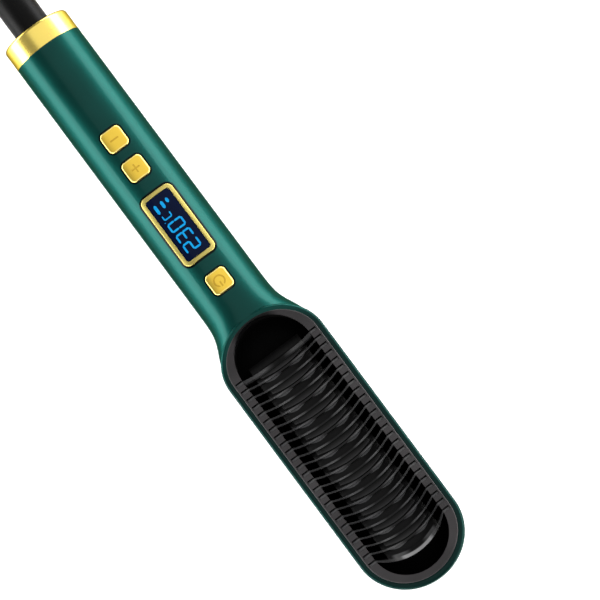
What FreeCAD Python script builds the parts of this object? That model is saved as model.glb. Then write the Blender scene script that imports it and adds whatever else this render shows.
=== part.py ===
"""Hair straightening brush: a round handle with keys and a display, a flat oval head with a heated comb,
and a mains cord that leaves the handle through a swivel.

Everything is in millimetres. While the parts are made, x is 0 at the tail end of the gold collar and
grows towards the head's tip, y is 0 in the middle plane, and z is 0 on the surface that the brush lies
on, face up. The parts are written with x counted from the middle of the whole brush.
"""
import FreeCAD, Part
import math
import os

V = FreeCAD.Vector

# Handle and shells
HANDLE_RADIUS = 15.75
SHELL_WALL = 2.0
INNER_RADIUS = HANDLE_RADIUS - SHELL_WALL
AXIS_Z = HANDLE_RADIUS
SEAT_GAP = 0.1            # between pieces that sit in each other and don't move
FACE_GAP = 0.3            # beside pieces that move, or that lie near a curved face

# Gold collar and the necks of the shells under it
COLLAR_LENGTH = 10.0
COLLAR_FACE = 1.8         # thickness of its tail face
COLLAR_ROUND = 1.4
NECK_WALL = 1.6
NECK_RADIUS = HANDLE_RADIUS - 2.75
NECK_STEP = 2.0           # thickness of the step between neck and handle

# Head, seen from above: straight sides between two half ellipses
HEAD_START = 152.4
HEAD_LENGTH = 135.5
HEAD_HALF_WIDTH = 24.1
NEAR_REACH = 21.2         # of the half ellipse next to the handle
FAR_REACH = 22.6          # of the half ellipse at the tip
RIM_Z = 2 * HANDLE_RADIUS - 0.5
RIM_ROUND = 1.3
BACK_ROUND = 15.0
HEAD_WALL = 2.5
HEAD_NEAR_X = HEAD_START + NEAR_REACH
HEAD_FAR_X = HEAD_START + HEAD_LENGTH - FAR_REACH
HEAD_TIP_X = HEAD_START + HEAD_LENGTH

# Flare from the handle to the head
FLARE_LENGTH = 34.0
FLARE_LEAD = 14.4         # the flare starts this far before the head
FLARE_HALF_WIDTH = HEAD_HALF_WIDTH - 1.95
FLARE_EASE = 1.0
FLARE_CROWN_DROP = 1.5    # the crown meets the head this far below the handle's top
FLARE_BACK_LIFT = 0.2
FLARE_MIDDLE_RISE = 4.0
FLARE_SQUARENESS = 1.0
FLARE_SECTIONS = 12
SECTION_POINTS = 32
FLARE_START = HEAD_START - FLARE_LEAD

# Guard ring
GUARD_GAP = 0.15
GUARD_RISE = 3.0          # above the rim
GUARD_DEPTH = 6.0
GUARD_ROUND = 0.4
OPENING_HALF_WIDTH = 17.4
OPENING_NEAR_REACH = 18.3
OPENING_FAR_REACH = 16.5
OPENING_SHIFT = 0.4       # of both of its half ellipses towards the tip
GUARD_BAND = 0.8          # unslotted outer band
SLOT_WIDTH = 1.6
SLOT_DEPTH = 4.8
LEDGE_THICKNESS = 1.7
LEDGE_SETBACK = 13.6      # from the head's near end
LEDGE_START = HEAD_START + LEDGE_SETBACK
GUARD_TOP = RIM_Z + GUARD_RISE
GUARD_BOTTOM = GUARD_TOP - GUARD_DEPTH
GUARD_HALF_WIDTH = HEAD_HALF_WIDTH - HEAD_WALL - GUARD_GAP

# Comb: thin fins across the head, dished, and bowed more and more towards the tip
FIN_COUNT = 25
FIN_THICKNESS = 0.8
FIRST_FIN_THICKNESS = 2.0
FIRST_FIN_X = HEAD_NEAR_X + 0.8
LAST_FIN_X = HEAD_FAR_X + 1.7
FIN_PITCH = (LAST_FIN_X - FIRST_FIN_X) / (FIN_COUNT - 1)
FIN_SINK = 0.3            # fin ends below the guard's top
FIN_KNEE_INSET = 0.3      # the fins leave their slots this far inside the opening
FIN_END_GAP = 0.2
BASE_BOTTOM = 14.0
BASE_HALF_WIDTH = 12.7
DISH_DEPTH = 0.52 * (GUARD_TOP - BASE_BOTTOM)       # fin tops in the middle, below their ends
DISH_SHOULDER = 0.335 * (GUARD_TOP - BASE_BOTTOM)   # fin tops over the edge of the base, below their ends
FIRST_BOW = 0.2
LAST_BOW = 3.8
BOW_GROWTH = 0.7          # exponent of the growth from the first bow to the last
END_WALL_INNER_BOW = 3.6  # the wall that closes the comb at the tip, in place of the last fin
END_WALL_LIP_BOW = 5.4    # where its raised outer lip begins
END_WALL_OUTER_BOW = 6.4
FLOOR_SINK = 4.2          # the base's face below the fin tops
LAND_SINK = 1.3           # the raised lands below the fin tops
LAND_CLEAR = 0.5          # between the widest place of a land and the next fin
LAND_END_WIDTH = 1.5
LAND_END_SLOPE = 2.2      # the lands fall to the base over this distance at their ends
RAMP_LENGTH = 4.2
RAMP_FOOT = 1.5

# Tray under the comb
TRAY_WALL = 1.5
TRAY_BOTTOM = 4.5
TRAY_OUTSET = 2.0         # its outside, beyond the guard's opening
TRAY_GAP = 0.3
TRAY_BOSS_RADIUS = 2.8
TRAY_BOSS_Y = 10.6
TRAY_BOSS_NEAR_INSET = 5.1    # from the first fin
TRAY_BOSS_FAR_INSET = 7.5     # from the last fin
TRAY_BOSS_NEAR_X = FIRST_FIN_X + TRAY_BOSS_NEAR_INSET
TRAY_BOSS_FAR_X = LAST_FIN_X - TRAY_BOSS_FAR_INSET
TRAY_BOSSES = [(x, y) for x in (TRAY_BOSS_NEAR_X, TRAY_BOSS_FAR_X) for y in (-TRAY_BOSS_Y, TRAY_BOSS_Y)]

# Heater under the comb's base
HEATER_MARGIN = 10.0      # between its ends and the tray's bosses
HEATER_LENGTH = TRAY_BOSS_FAR_X - TRAY_BOSS_NEAR_X - 2 * HEATER_MARGIN
HEATER_HALF_WIDTH = 8.5
HEATER_THICKNESS = 3.4
MICA_THICKNESS = 0.3
CLAMP_THICKNESS = 1.0
CLAMP_OVERHANG = 4.0
CLAMP_HALF_WIDTH = 12.0
CLAMP_SCREW_INSET = 1.9
CLAMP_SCREW_LENGTH = 7.0
FUSE_LINK_RADIUS = 1.5
FUSE_LINK_LENGTH = 10.0
FUSE_LINK_BEYOND = 2.0    # its middle, beyond the clamp's far end
SENSOR_RADIUS = 1.1
SENSOR_LENGTH = 4.0
SENSOR_AHEAD = 2.0        # between the sensor and the heater's near end
HEATER_X = (TRAY_BOSS_NEAR_X + TRAY_BOSS_FAR_X) / 2
HEATER_NEAR_X = HEATER_X - HEATER_LENGTH / 2
HEATER_BOTTOM = BASE_BOTTOM - HEATER_THICKNESS
CLAMP_BOTTOM = HEATER_BOTTOM - MICA_THICKNESS - CLAMP_THICKNESS

# Keys and display
KEY_SIZE = 9.7
KEY_CORNER = 2.1
KEY_RISE = 0.6            # above the handle
KEY_ROUND = 0.4
KEY_CLEAR = 0.25
KEY_LIP = 1.3             # width of the hidden flange
KEY_LIP_THICKNESS = 1.0
KEY_TRAVEL = 0.5
KEY_NUB_RADIUS = 2.0
MARK_DEPTH = 0.3
MARK_WIDTH = 0.7
MARK_LENGTH = 4.0
POWER_MARK_RADIUS = 2.3
MINUS_X = 59.9
PLUS_X = 75.1
POWER_X = 134.1
DISPLAY_X = 104.7
BEZEL_LENGTH = 34.5
BEZEL_WIDTH = 15.7
BEZEL_CORNER = 2.8
BEZEL_FRAME = 1.8
BEZEL_RISE = 0.5
BEZEL_ROUND = 0.35
WINDOW_RISE = 0.15
WINDOW_LIP = 1.6
WINDOW_LIP_THICKNESS = 1.0
MODULE_LENGTH = 32.0
MODULE_WIDTH = 15.0
MODULE_HEIGHT = 3.3

# Boards
BOARD_THICKNESS = 1.6
BOARD_SIDE_GAP = 0.86     # between the power board's lower edges and the handle
CONTROL_BOARD_DEPTH = 9.5     # of its face under the handle's top
CONTROL_BOARD_TOP = 2 * HANDLE_RADIUS - CONTROL_BOARD_DEPTH
CONTROL_BOARD_MARGIN = 9.8
CONTROL_BOARD_START = MINUS_X - CONTROL_BOARD_MARGIN
CONTROL_BOARD_END = POWER_X + CONTROL_BOARD_MARGIN
POWER_BOARD_TOP = 0.61 * HANDLE_RADIUS
POWER_BOARD_START = 38.0
POWER_BOARD_LENGTH = 92.0
POWER_BOARD_DROP = AXIS_Z - POWER_BOARD_TOP + BOARD_THICKNESS
BOARD_HALF_WIDTH = math.sqrt(INNER_RADIUS ** 2 - POWER_BOARD_DROP ** 2) - BOARD_SIDE_GAP
POST_RADIUS = 1.9
CONTROL_POST_Y = BOARD_HALF_WIDTH - 2.1
CONTROL_POST_INSET = 2.5
POWER_POST_Y = BOARD_HALF_WIDTH - 3.0
POWER_POST_INSET = 5.0
SWITCH_SIZE = 6.0
SWITCH_HEIGHT = 3.4
SWITCH_PLUNGER_RADIUS = 1.7
SWITCH_PLUNGER_HEIGHT = 0.9
CHIP_SIZE = (10.0, 6.0, 1.6)
FILM_SIZE = (18.0, 8.0, 8.5)
FILM_SCREW_GAP = 0.7      # between it and the head of the control board's screw
FILM_SIDE = 5.7           # distances of the middles from the board's long edges
CAN_RADIUS = 4.0
CAN_LENGTH = 16.0
CAN_ALONG = 39.0          # distances from the power board's start
CAN_SIDE = 5.5
MAINS_FUSE_RADIUS = 2.5
MAINS_FUSE_LENGTH = 20.0
MAINS_FUSE_ALONG = 15.0
MAINS_FUSE_SIDE = 5.0
TRIAC_LENGTH = 9.0
TRIAC_WIDTH = 10.0
TRIAC_HEIGHT = 4.4
TRIAC_TAB_LENGTH = 6.0
TRIAC_TAB_HEIGHT = 1.3
TRIAC_ALONG = 60.0
TRIAC_SIDE = 6.5
LINK_LENGTH = 12.0
LINK_WIDTH = 2.5
LINK_ALONG = 42.0
LINK_SIDE = 4.25

# Screws
CASE_SCREW_RADIUS = 1.25
CASE_HEAD_RADIUS = 2.5
CASE_HEAD_HEIGHT = 1.7
CASE_BOSS_RADIUS = 3.8
CASE_HEAD_SEAT = 3.5      # height of the seat of the screw heads in the handle
HEAD_SCREW_SEAT = 2.3     # height of the seat of the screw heads in the head
CASE_SCREW_REACH = 7.75   # beyond the handle's axis
HEAD_SCREW_REACH = 2.5    # into the comb's base
HANDLE_SCREW_LENGTH = AXIS_Z - CASE_HEAD_SEAT + CASE_SCREW_REACH
HEAD_SCREW_LENGTH = BASE_BOTTOM - HEAD_SCREW_SEAT + HEAD_SCREW_REACH
SCREW_BITE = 0.05         # radial gap in the hole that a screw cuts its thread in
SCREW_PASS = 0.2          # radial gap in the hole that a screw passes through
TAIL_SCREW_X = 34.0
NECK_SCREW_X = 149.0
SMALL_SCREW_RADIUS = 0.8
SMALL_HEAD_RADIUS = 1.7
SMALL_HEAD_HEIGHT = 1.3
CONTROL_SCREW_LENGTH = 5.2
POWER_SCREW_LENGTH = 4.2

# Swivel
BARREL_OUT = 26.0         # beyond the collar
BEARING_GAP = 0.1
SOCKET_WALL = 2.95
SOCKET_START = 3.2
SOCKET_END = 16.0
SOCKET_RADIUS = NECK_RADIUS - NECK_WALL - SEAT_GAP
BARREL_RADIUS = SOCKET_RADIUS - SOCKET_WALL - BEARING_GAP
FLANGE_RADIUS = BARREL_RADIUS + 1.95
FLANGE_THICKNESS = 2.0
SPIGOT_RADIUS = 4.5
SPIGOT_LENGTH = 11.2
CLIP_THICKNESS = 0.8
CLIP_DEPTH = 0.6
SLIP_RING_THICKNESS = 0.8
SLIP_RING_WIDTH = 2.5
SLIP_RING_PITCH = 5.0
CONTACT_BLOCK_LENGTH = 9.7
CONTACT_BLOCK_HALF_WIDTH = 6.2
CONTACT_BLOCK_HEIGHT = 3.3
CONTACT_BLOCK_HIGH = AXIS_Z - 0.2 + math.sqrt(INNER_RADIUS ** 2 - CONTACT_BLOCK_HALF_WIDTH ** 2)
CONTACT_BLOCK_LOW = CONTACT_BLOCK_HIGH - CONTACT_BLOCK_HEIGHT
CONTACT_LEAF = 0.4
BOOT_LENGTH = 40.0
BOOT_ROOT_RADIUS = BARREL_RADIUS - 0.65
BOOT_END_RADIUS = 4.6
BOOT_RIBS = 7
BOOT_RIB_DEPTH = 0.7

# Leads inside the handle and the head
LEAD_RADIUS = 0.7
LEAD_BEND = 1.2
HEATER_LEAD_RADIUS = 0.5
SENSOR_LEAD_RADIUS = 0.4
LEAD_HOLE_GAP = 0.5
MAINS_LEAD_Z = CONTACT_BLOCK_HIGH - CONTACT_BLOCK_HEIGHT / 2
MAINS_LEAD_Y = 5.0
MAINS_LEAD_ALONG = 9.5    # from the power board's start
MAINS_LEAD_DROP_X = POWER_BOARD_START + MAINS_LEAD_ALONG
HEATER_LEAD_YS = (4.7, 5.9)
SENSOR_LEAD_YS = (-4.9, -6.0)
HEATER_LEAD_START_X = POWER_BOARD_START + POWER_BOARD_LENGTH - 2
SENSOR_LEAD_INSET = 1.2   # from the control board's end
SENSOR_LEAD_START_X = CONTROL_BOARD_END - SENSOR_LEAD_INSET
LEADS_HALF_WIDTH = HEATER_LEAD_YS[1] + HEATER_LEAD_RADIUS
HANDLE_LEAD_Z = AXIS_Z + 1.4 - math.sqrt(INNER_RADIUS ** 2 - LEADS_HALF_WIDTH ** 2)
LEAD_DIP_AHEAD = 2.4      # of the head's near end
LEAD_DIP_LENGTH = 12.0
LEAD_DIP_START = HEAD_START - LEAD_DIP_AHEAD
LEAD_DIP_END = LEAD_DIP_START + LEAD_DIP_LENGTH
TRAY_LEAD_Z = (HEAD_WALL + TRAY_BOTTOM) / 2         # between the head's back and the tray
HEATER_LEAD_Z = BASE_BOTTOM - HEATER_THICKNESS / 2
SENSOR_LEAD_Z = BASE_BOTTOM - SENSOR_RADIUS - SEAT_GAP
SENSOR_X = HEATER_NEAR_X - SENSOR_AHEAD - SENSOR_LENGTH
HEATER_LEAD_RISE_X = HEATER_NEAR_X - 6
SENSOR_LEAD_RISE_X = SENSOR_X - 2

# Cord: each route is a list of points chosen by hand
CORD_RADIUS = 3.0
TIE_THICKNESS = 1.0
TIE_WIDTH = 12.0
HANK_TURN_RADIUS = 18.0   # of the inner column of turns, at the middle of the cord
HANK_STRAIGHT = 40.0
HANK_COLUMNS = 2
HANK_LAYERS = 4
HANK_STUB = 20.0
BOOT_END_X = -BARREL_OUT - BOOT_LENGTH
LEAD_ROUTE = [
    (BOOT_END_X, 0, AXIS_Z),
    (-81, 0, AXIS_Z),
    (-96, -5, 13),
    (-112, -19, 6.75),
    (-126, -24, 4),
    (-140, -24, 4),
]
TAIL_ROUTE = [
    (-140, 24, 22),
    (-122, 24, 22),
    (-94, 25, 6.5),
    (-76, 25, 6.5),
]

# Plug
PLUG_LENGTH = 28.0
PLUG_WIDTH = 24.0
PLUG_HEIGHT = 13.0
PLUG_ROUND = 3.0
PLUG_RELIEF_LENGTH = 20.0
PLUG_RELIEF_RADIUS = 5.2
BLADE_LENGTH = 16.0
BLADE_HEIGHT = 6.35
BLADE_THICKNESS = 1.5
BLADE_SPACING = 12.7

# Places that follow from the sizes above
MIDDLE_X = (HEAD_TIP_X + BOOT_END_X) / 2
FIN_TOP = GUARD_TOP - FIN_SINK
FIN_XS = [FIRST_FIN_X + FIN_PITCH * k for k in range(FIN_COUNT)]
HEATER_FAR_X = HEATER_NEAR_X + HEATER_LENGTH
CLAMP_SCREWS = [(x, y)
                for x in (HEATER_NEAR_X - CLAMP_SCREW_INSET, HEATER_FAR_X + CLAMP_SCREW_INSET)
                for y in (CLAMP_SCREW_INSET - CLAMP_HALF_WIDTH, CLAMP_HALF_WIDTH - CLAMP_SCREW_INSET)]
KEYS = {"minus": MINUS_X, "plus": PLUS_X, "power": POWER_X}
POWER_BOARD_END = POWER_BOARD_START + POWER_BOARD_LENGTH
CONTROL_POSTS = [(x, y)
                 for x in (CONTROL_BOARD_START + CONTROL_POST_INSET, CONTROL_BOARD_END - CONTROL_POST_INSET)
                 for y in (-CONTROL_POST_Y, CONTROL_POST_Y)]
POWER_POSTS = [(x, y)
               for x in (POWER_BOARD_START + POWER_POST_INSET, POWER_BOARD_END - POWER_POST_INSET)
               for y in (-POWER_POST_Y, POWER_POST_Y)]
FILM_X = CONTROL_BOARD_START + CONTROL_POST_INSET + SMALL_HEAD_RADIUS + FILM_SCREW_GAP + FILM_SIZE[0] / 2
FILM_Y = FILM_SIDE - BOARD_HALF_WIDTH
CAN_START = POWER_BOARD_START + CAN_ALONG
CAN_Y = CAN_SIDE - BOARD_HALF_WIDTH
MAINS_FUSE_START = POWER_BOARD_START + MAINS_FUSE_ALONG
MAINS_FUSE_Y = BOARD_HALF_WIDTH - MAINS_FUSE_SIDE
TRIAC_START = POWER_BOARD_START + TRIAC_ALONG
TRIAC_Y = TRIAC_SIDE - BOARD_HALF_WIDTH
LINK_START = POWER_BOARD_START + LINK_ALONG
LINK_Y = BOARD_HALF_WIDTH - LINK_SIDE
BARREL_END = SOCKET_END + FACE_GAP
SPIGOT_END = BARREL_END + FLANGE_THICKNESS + SPIGOT_LENGTH
CLIP_X = COLLAR_FACE + FACE_GAP
SLIP_RING_XS = [SPIGOT_END - SLIP_RING_WIDTH - SLIP_RING_PITCH * k - 1 for k in range(2)]
CONTACT_BLOCK_X = BARREL_END + FLANGE_THICKNESS + 1
HANK_X = LEAD_ROUTE[-1][0] - HANK_STUB


# Plain shapes

def cylinder_x(radius, start, end, y=0.0, z=AXIS_Z):
    return Part.makeCylinder(radius, end - start, V(start, y, z), V(1, 0, 0))


def tube_x(outer, inner, start, end):
    return cylinder_x(outer, start, end).cut(cylinder_x(inner, start, end))


def cylinder_z(radius, x, y, low, high):
    return Part.makeCylinder(radius, high - low, V(x, y, low), V(0, 0, 1))


def block(x0, x1, y0, y1, low, high):
    return Part.makeBox(x1 - x0, y1 - y0, high - low, V(x0, y0, low))


def joined(shapes):
    return shapes[0].multiFuse(shapes[1:]).removeSplitter()


def rounded_block(middle_x, length, width, corner, low, high, middle_y=0.0):
    """An upright block with rounded corners, seen from above."""
    shape = block(middle_x - length / 2, middle_x + length / 2,
                  middle_y - width / 2, middle_y + width / 2, low, high)
    upright = [e for e in shape.Edges if abs(e.tangentAt(e.FirstParameter).z) > 0.99]
    return shape.makeFillet(corner, upright)


def curved_plate(middle_x, length, width, corner, inner, outer):
    """A rounded rectangle that follows the handle, between two radii about its axis."""
    prism = rounded_block(middle_x, length, width, corner, AXIS_Z, AXIS_Z + 2 * HANDLE_RADIUS)
    start, end = middle_x - length, middle_x + length
    return prism.common(tube_x(outer, inner, start, end))


def edges_on(shape, radius):
    """The edges whose ends lie at a radius about the handle's axis."""
    return [e for e in shape.Edges
            if all(abs(math.hypot(v.Y, v.Z - AXIS_Z) - radius) < 1e-3 for v in e.Vertexes)]


def wire_through(route, bend=None):
    """Straight runs joined by tangent arcs: as large as the two runs allow, or of a given radius."""
    points = [V(*p) for p in route]
    edges, radii = [], []
    start = points[0]
    for before, corner, after in zip(points, points[1:], points[2:]):
        back, ahead = before - corner, after - corner
        turn = math.pi - back.getAngle(ahead)
        run = 0.45 * min(back.Length, ahead.Length)
        if bend is not None:
            run = bend * math.tan(turn / 2)
        radii.append(run / math.tan(turn / 2))
        back.normalize()
        ahead.normalize()
        first, last = corner + back * run, corner + ahead * run
        inward = (back + ahead).normalize()
        centre = corner + inward * (radii[-1] / math.cos(turn / 2))
        edges.append(Part.LineSegment(start, first).toShape())
        edges.append(Part.Arc(first, centre - inward * radii[-1], last).toShape())
        start = last
    edges.append(Part.LineSegment(start, points[-1]).toShape())
    return Part.Wire(edges), radii


def round_tube(route, radius, bend=None):
    path, radii = wire_through(route, bend)
    first = V(*route[0])
    circle = Part.Wire(Part.makeCircle(radius, first, V(*route[1]) - first))
    return path.makePipeShell([circle], True, False), path.Length, radii


def screw(x, y, seat, direction, radius, length, head_radius, head_height):
    """A pan-head screw. Its head stands on the seat, and its shank points along direction (+1 is up)."""
    axis = V(0, 0, direction)
    shank = Part.makeCylinder(radius, length, V(x, y, seat), axis)
    head = Part.makeCylinder(head_radius, head_height, V(x, y, seat), axis * -1)
    driver = Part.makeBox(head_radius * 1.2, head_radius * 0.35, head_height / 2)
    cross = []
    for angle in (0, 90):
        slot = driver.copy()
        slot.translate(V(-head_radius * 0.6, -head_radius * 0.175, 0))
        slot.rotate(V(0, 0, 0), V(0, 0, 1), angle)
        low = seat - direction * head_height
        slot.translate(V(x, y, low if direction > 0 else low - head_height / 2))
        cross.append(slot)
    return joined([shank, head]).cut(joined(cross))


# Outlines of the head

def half_ellipse(middle_x, reach, half_width, z, side):
    """From one side of the head round its end to the other side; side is -1 at the handle, 1 at the tip."""
    centre = V(middle_x, 0, z)
    corner = V(middle_x, -side * half_width, z)
    end = V(middle_x + side * reach, 0, z)
    if abs(half_width - reach) < 1e-6:
        return Part.Arc(corner, end, V(middle_x, side * half_width, z)).toShape()
    if half_width > reach:
        ellipse = Part.Ellipse(corner, end, centre)
        return Part.ArcOfEllipse(ellipse, 0, math.pi).toShape()
    ellipse = Part.Ellipse(end, V(middle_x, side * half_width, z), centre)
    return Part.ArcOfEllipse(ellipse, -math.pi / 2, math.pi / 2).toShape()


def oval_wire(near_x, near_reach, far_x, far_reach, half_width, z):
    near = half_ellipse(near_x, near_reach, half_width, z, -1)
    far = half_ellipse(far_x, far_reach, half_width, z, 1)
    sides = [Part.LineSegment(V(near_x, y, z), V(far_x, y, z)).toShape() for y in (half_width, -half_width)]
    return Part.Wire(Part.__sortEdges__([near, far] + sides))


def oval_block(oval, low, high):
    return Part.Face(oval_wire(*oval, low)).extrude(V(0, 0, high - low))


def head_oval(inset):
    return (HEAD_NEAR_X, NEAR_REACH - inset, HEAD_FAR_X, FAR_REACH - inset, HEAD_HALF_WIDTH - inset)


def opening_oval(outset):
    """The guard's opening, made larger by outset."""
    return (HEAD_NEAR_X + OPENING_SHIFT, OPENING_NEAR_REACH + outset,
            HEAD_FAR_X + OPENING_SHIFT, OPENING_FAR_REACH + outset, OPENING_HALF_WIDTH + outset)


def tray_oval(inset):
    """The tray's outside made smaller by inset: round the guard's opening, just inside the near wall."""
    near = NEAR_REACH - HEAD_WALL - TRAY_GAP + OPENING_SHIFT - inset
    return (HEAD_NEAR_X + OPENING_SHIFT, near, HEAD_FAR_X + OPENING_SHIFT,
            OPENING_FAR_REACH + TRAY_OUTSET - inset, OPENING_HALF_WIDTH + TRAY_OUTSET - inset)


def edges_at(shape, z):
    return [e for e in shape.Edges if abs(e.BoundBox.ZMin - z) < 1e-3 and abs(e.BoundBox.ZMax - z) < 1e-3]


# Outer skin

def flare_section(x, inset):
    """A closed curve across the flare: a circle at the handle, wider and squarer towards the head."""
    share = (x - FLARE_START) / FLARE_LENGTH
    spread = share ** 3 / (share ** 3 + FLARE_EASE * (1 - share) ** 2)
    eased = share * share * (3 - 2 * share)
    half_width = HANDLE_RADIUS + (FLARE_HALF_WIDTH - HANDLE_RADIUS) * spread - inset
    middle = AXIS_Z + FLARE_MIDDLE_RISE * spread
    top = 2 * HANDLE_RADIUS - FLARE_CROWN_DROP * eased - inset
    bottom = FLARE_BACK_LIFT * eased + inset
    power = 2 / (2 + FLARE_SQUARENESS * spread)
    points = []
    for k in range(SECTION_POINTS):
        angle = 2 * math.pi * k / SECTION_POINTS
        across = math.copysign(abs(math.cos(angle)) ** power, math.cos(angle))
        up = math.copysign(abs(math.sin(angle)) ** power, math.sin(angle))
        height = top - middle if up > 0 else middle - bottom
        points.append(V(x, half_width * across, middle + height * up))
    curve = Part.BSplineCurve()
    curve.interpolate(Points=points, PeriodicFlag=True)
    return Part.Wire(curve.toShape())


def flare(inset):
    stations = [FLARE_START + FLARE_LENGTH * k / (FLARE_SECTIONS - 1) for k in range(FLARE_SECTIONS)]
    return Part.makeLoft([flare_section(x, inset) for x in stations], True, False)


def head_bowl(inset, top):
    bowl = oval_block(head_oval(inset), inset, top)
    return bowl.makeFillet(BACK_ROUND - inset, edges_at(bowl, inset))


def whole_skin():
    neck = cylinder_x(NECK_RADIUS, COLLAR_FACE + FACE_GAP, COLLAR_LENGTH + NECK_STEP)
    handle = cylinder_x(HANDLE_RADIUS, COLLAR_LENGTH, FLARE_START)
    head = head_bowl(0, RIM_Z)
    head = head.makeFillet(RIM_ROUND, edges_at(head, RIM_Z))
    outside = neck.multiFuse([handle, flare(0), head], 1e-3)
    bore = cylinder_x(NECK_RADIUS - NECK_WALL, 0, COLLAR_LENGTH + NECK_STEP)
    hollow = cylinder_x(INNER_RADIUS, COLLAR_LENGTH + NECK_STEP, FLARE_START)
    inside = bore.multiFuse([hollow, flare(SHELL_WALL), head_bowl(HEAD_WALL, RIM_Z + 1)], 1e-3)
    return outside.cut(inside)


def front_bosses():
    """Posts for the control board and bosses for the handle screws, on the inside of the handle."""
    wall = inner_wall_height(CONTROL_POST_Y) + SHELL_WALL / 4
    posts = [cylinder_z(POST_RADIUS, x, y, CONTROL_BOARD_TOP, AXIS_Z + wall) for x, y in CONTROL_POSTS]
    top = 2 * HANDLE_RADIUS - SHELL_WALL / 2
    bosses = [cylinder_z(CASE_BOSS_RADIUS, x, 0, AXIS_Z, top) for x in (TAIL_SCREW_X, NECK_SCREW_X)]
    return posts + bosses


def guard_ledge():
    """The shelf inside the rim that the guard ring sits on."""
    low, high = GUARD_BOTTOM - LEDGE_THICKNESS, GUARD_BOTTOM
    shelf = oval_block(head_oval(HEAD_WALL / 2), low, high).cut(oval_block(tray_oval(-TRAY_GAP), low, high))
    return shelf.common(block(LEDGE_START, HEAD_TIP_X, -HEAD_HALF_WIDTH, HEAD_HALF_WIDTH, low, high))


def front_shell(skin):
    side = HEAD_HALF_WIDTH + 1
    half = skin.common(block(0, HEAD_TIP_X + 1, -side, side, AXIS_Z, RIM_Z + 1))
    shell = joined([half, guard_ledge()] + front_bosses())
    top = 2 * HANDLE_RADIUS + 1
    holes = [rounded_block(x, KEY_SIZE + 2 * KEY_CLEAR, KEY_SIZE + 2 * KEY_CLEAR, KEY_CORNER + KEY_CLEAR,
                           CONTROL_BOARD_TOP, top) for x in KEYS.values()]
    holes.append(rounded_block(DISPLAY_X, BEZEL_LENGTH + 2 * SEAT_GAP, BEZEL_WIDTH + 2 * SEAT_GAP,
                               BEZEL_CORNER + SEAT_GAP, CONTROL_BOARD_TOP, top))
    for x, y in CONTROL_POSTS:
        holes.append(cylinder_z(SMALL_SCREW_RADIUS + SCREW_BITE, x, y, CONTROL_BOARD_TOP,
                                CONTROL_BOARD_TOP + CONTROL_SCREW_LENGTH - BOARD_THICKNESS))
    for x in (TAIL_SCREW_X, NECK_SCREW_X):
        holes.append(cylinder_z(CASE_SCREW_RADIUS + SCREW_BITE, x, 0, AXIS_Z,
                                CASE_HEAD_SEAT + HANDLE_SCREW_LENGTH + 0.5))
    return shell.cut(holes)


def rear_shell(skin):
    side = HEAD_HALF_WIDTH + 1
    half = skin.common(block(0, HEAD_TIP_X + 1, -side, side, -1, AXIS_Z))
    wall = inner_wall_height(POWER_POST_Y) + SHELL_WALL / 4
    posts = [cylinder_z(POST_RADIUS, x, y, AXIS_Z - wall, POWER_BOARD_TOP - BOARD_THICKNESS)
             for x, y in POWER_POSTS]
    handle_bosses = [cylinder_z(CASE_BOSS_RADIUS, x, 0, SHELL_WALL / 2, AXIS_Z)
                     for x in (TAIL_SCREW_X, NECK_SCREW_X)]
    head_posts = [cylinder_z(CASE_BOSS_RADIUS, x, y, HEAD_WALL / 2, TRAY_BOTTOM) for x, y in TRAY_BOSSES]
    shell = joined([half] + posts + handle_bosses + head_posts)
    holes = []
    for x, y in POWER_POSTS:
        holes.append(cylinder_z(SMALL_SCREW_RADIUS + SCREW_BITE, x, y,
                                POWER_BOARD_TOP - POWER_SCREW_LENGTH, POWER_BOARD_TOP))
    seats = [(x, 0, CASE_HEAD_SEAT) for x in (TAIL_SCREW_X, NECK_SCREW_X)]
    seats += [(x, y, HEAD_SCREW_SEAT) for x, y in TRAY_BOSSES]
    for x, y, seat in seats:
        holes.append(cylinder_z(CASE_HEAD_RADIUS + FACE_GAP, x, y, -1, seat))
        holes.append(cylinder_z(CASE_SCREW_RADIUS + SCREW_PASS, x, y, -1, AXIS_Z))
    return shell.cut(holes)


def inner_wall_height(y):
    """Height of the handle's inner wall above its axis, at a distance from the middle plane."""
    return math.sqrt(INNER_RADIUS ** 2 - y ** 2)


def end_ring():
    collar = cylinder_x(HANDLE_RADIUS, 0, COLLAR_LENGTH)
    tail = [e for e in collar.Edges if e.BoundBox.XMax < 1e-3]
    collar = collar.makeFillet(COLLAR_ROUND, tail)
    collar = collar.cut(cylinder_x(BARREL_RADIUS + FACE_GAP, 0, COLLAR_LENGTH))
    return collar.cut(cylinder_x(NECK_RADIUS + SEAT_GAP, COLLAR_FACE, COLLAR_LENGTH))


# Head

def guard_ring():
    ring = oval_block(head_oval(HEAD_WALL + GUARD_GAP), GUARD_BOTTOM, GUARD_TOP)
    ring = ring.makeFillet(GUARD_ROUND, edges_at(ring, GUARD_TOP))
    cuts = [oval_block(opening_oval(0), GUARD_BOTTOM, GUARD_TOP)]
    for x in FIN_XS:
        end = x + FIN_THICKNESS / 2 + SCREW_BITE
        for side in (-1, 1):
            inner, outer = side * (OPENING_HALF_WIDTH - 1), side * (GUARD_HALF_WIDTH - GUARD_BAND)
            cuts.append(block(end - SLOT_WIDTH, end, min(inner, outer), max(inner, outer),
                              GUARD_TOP - SLOT_DEPTH, GUARD_TOP))
    return ring.cut(cuts)


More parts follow.
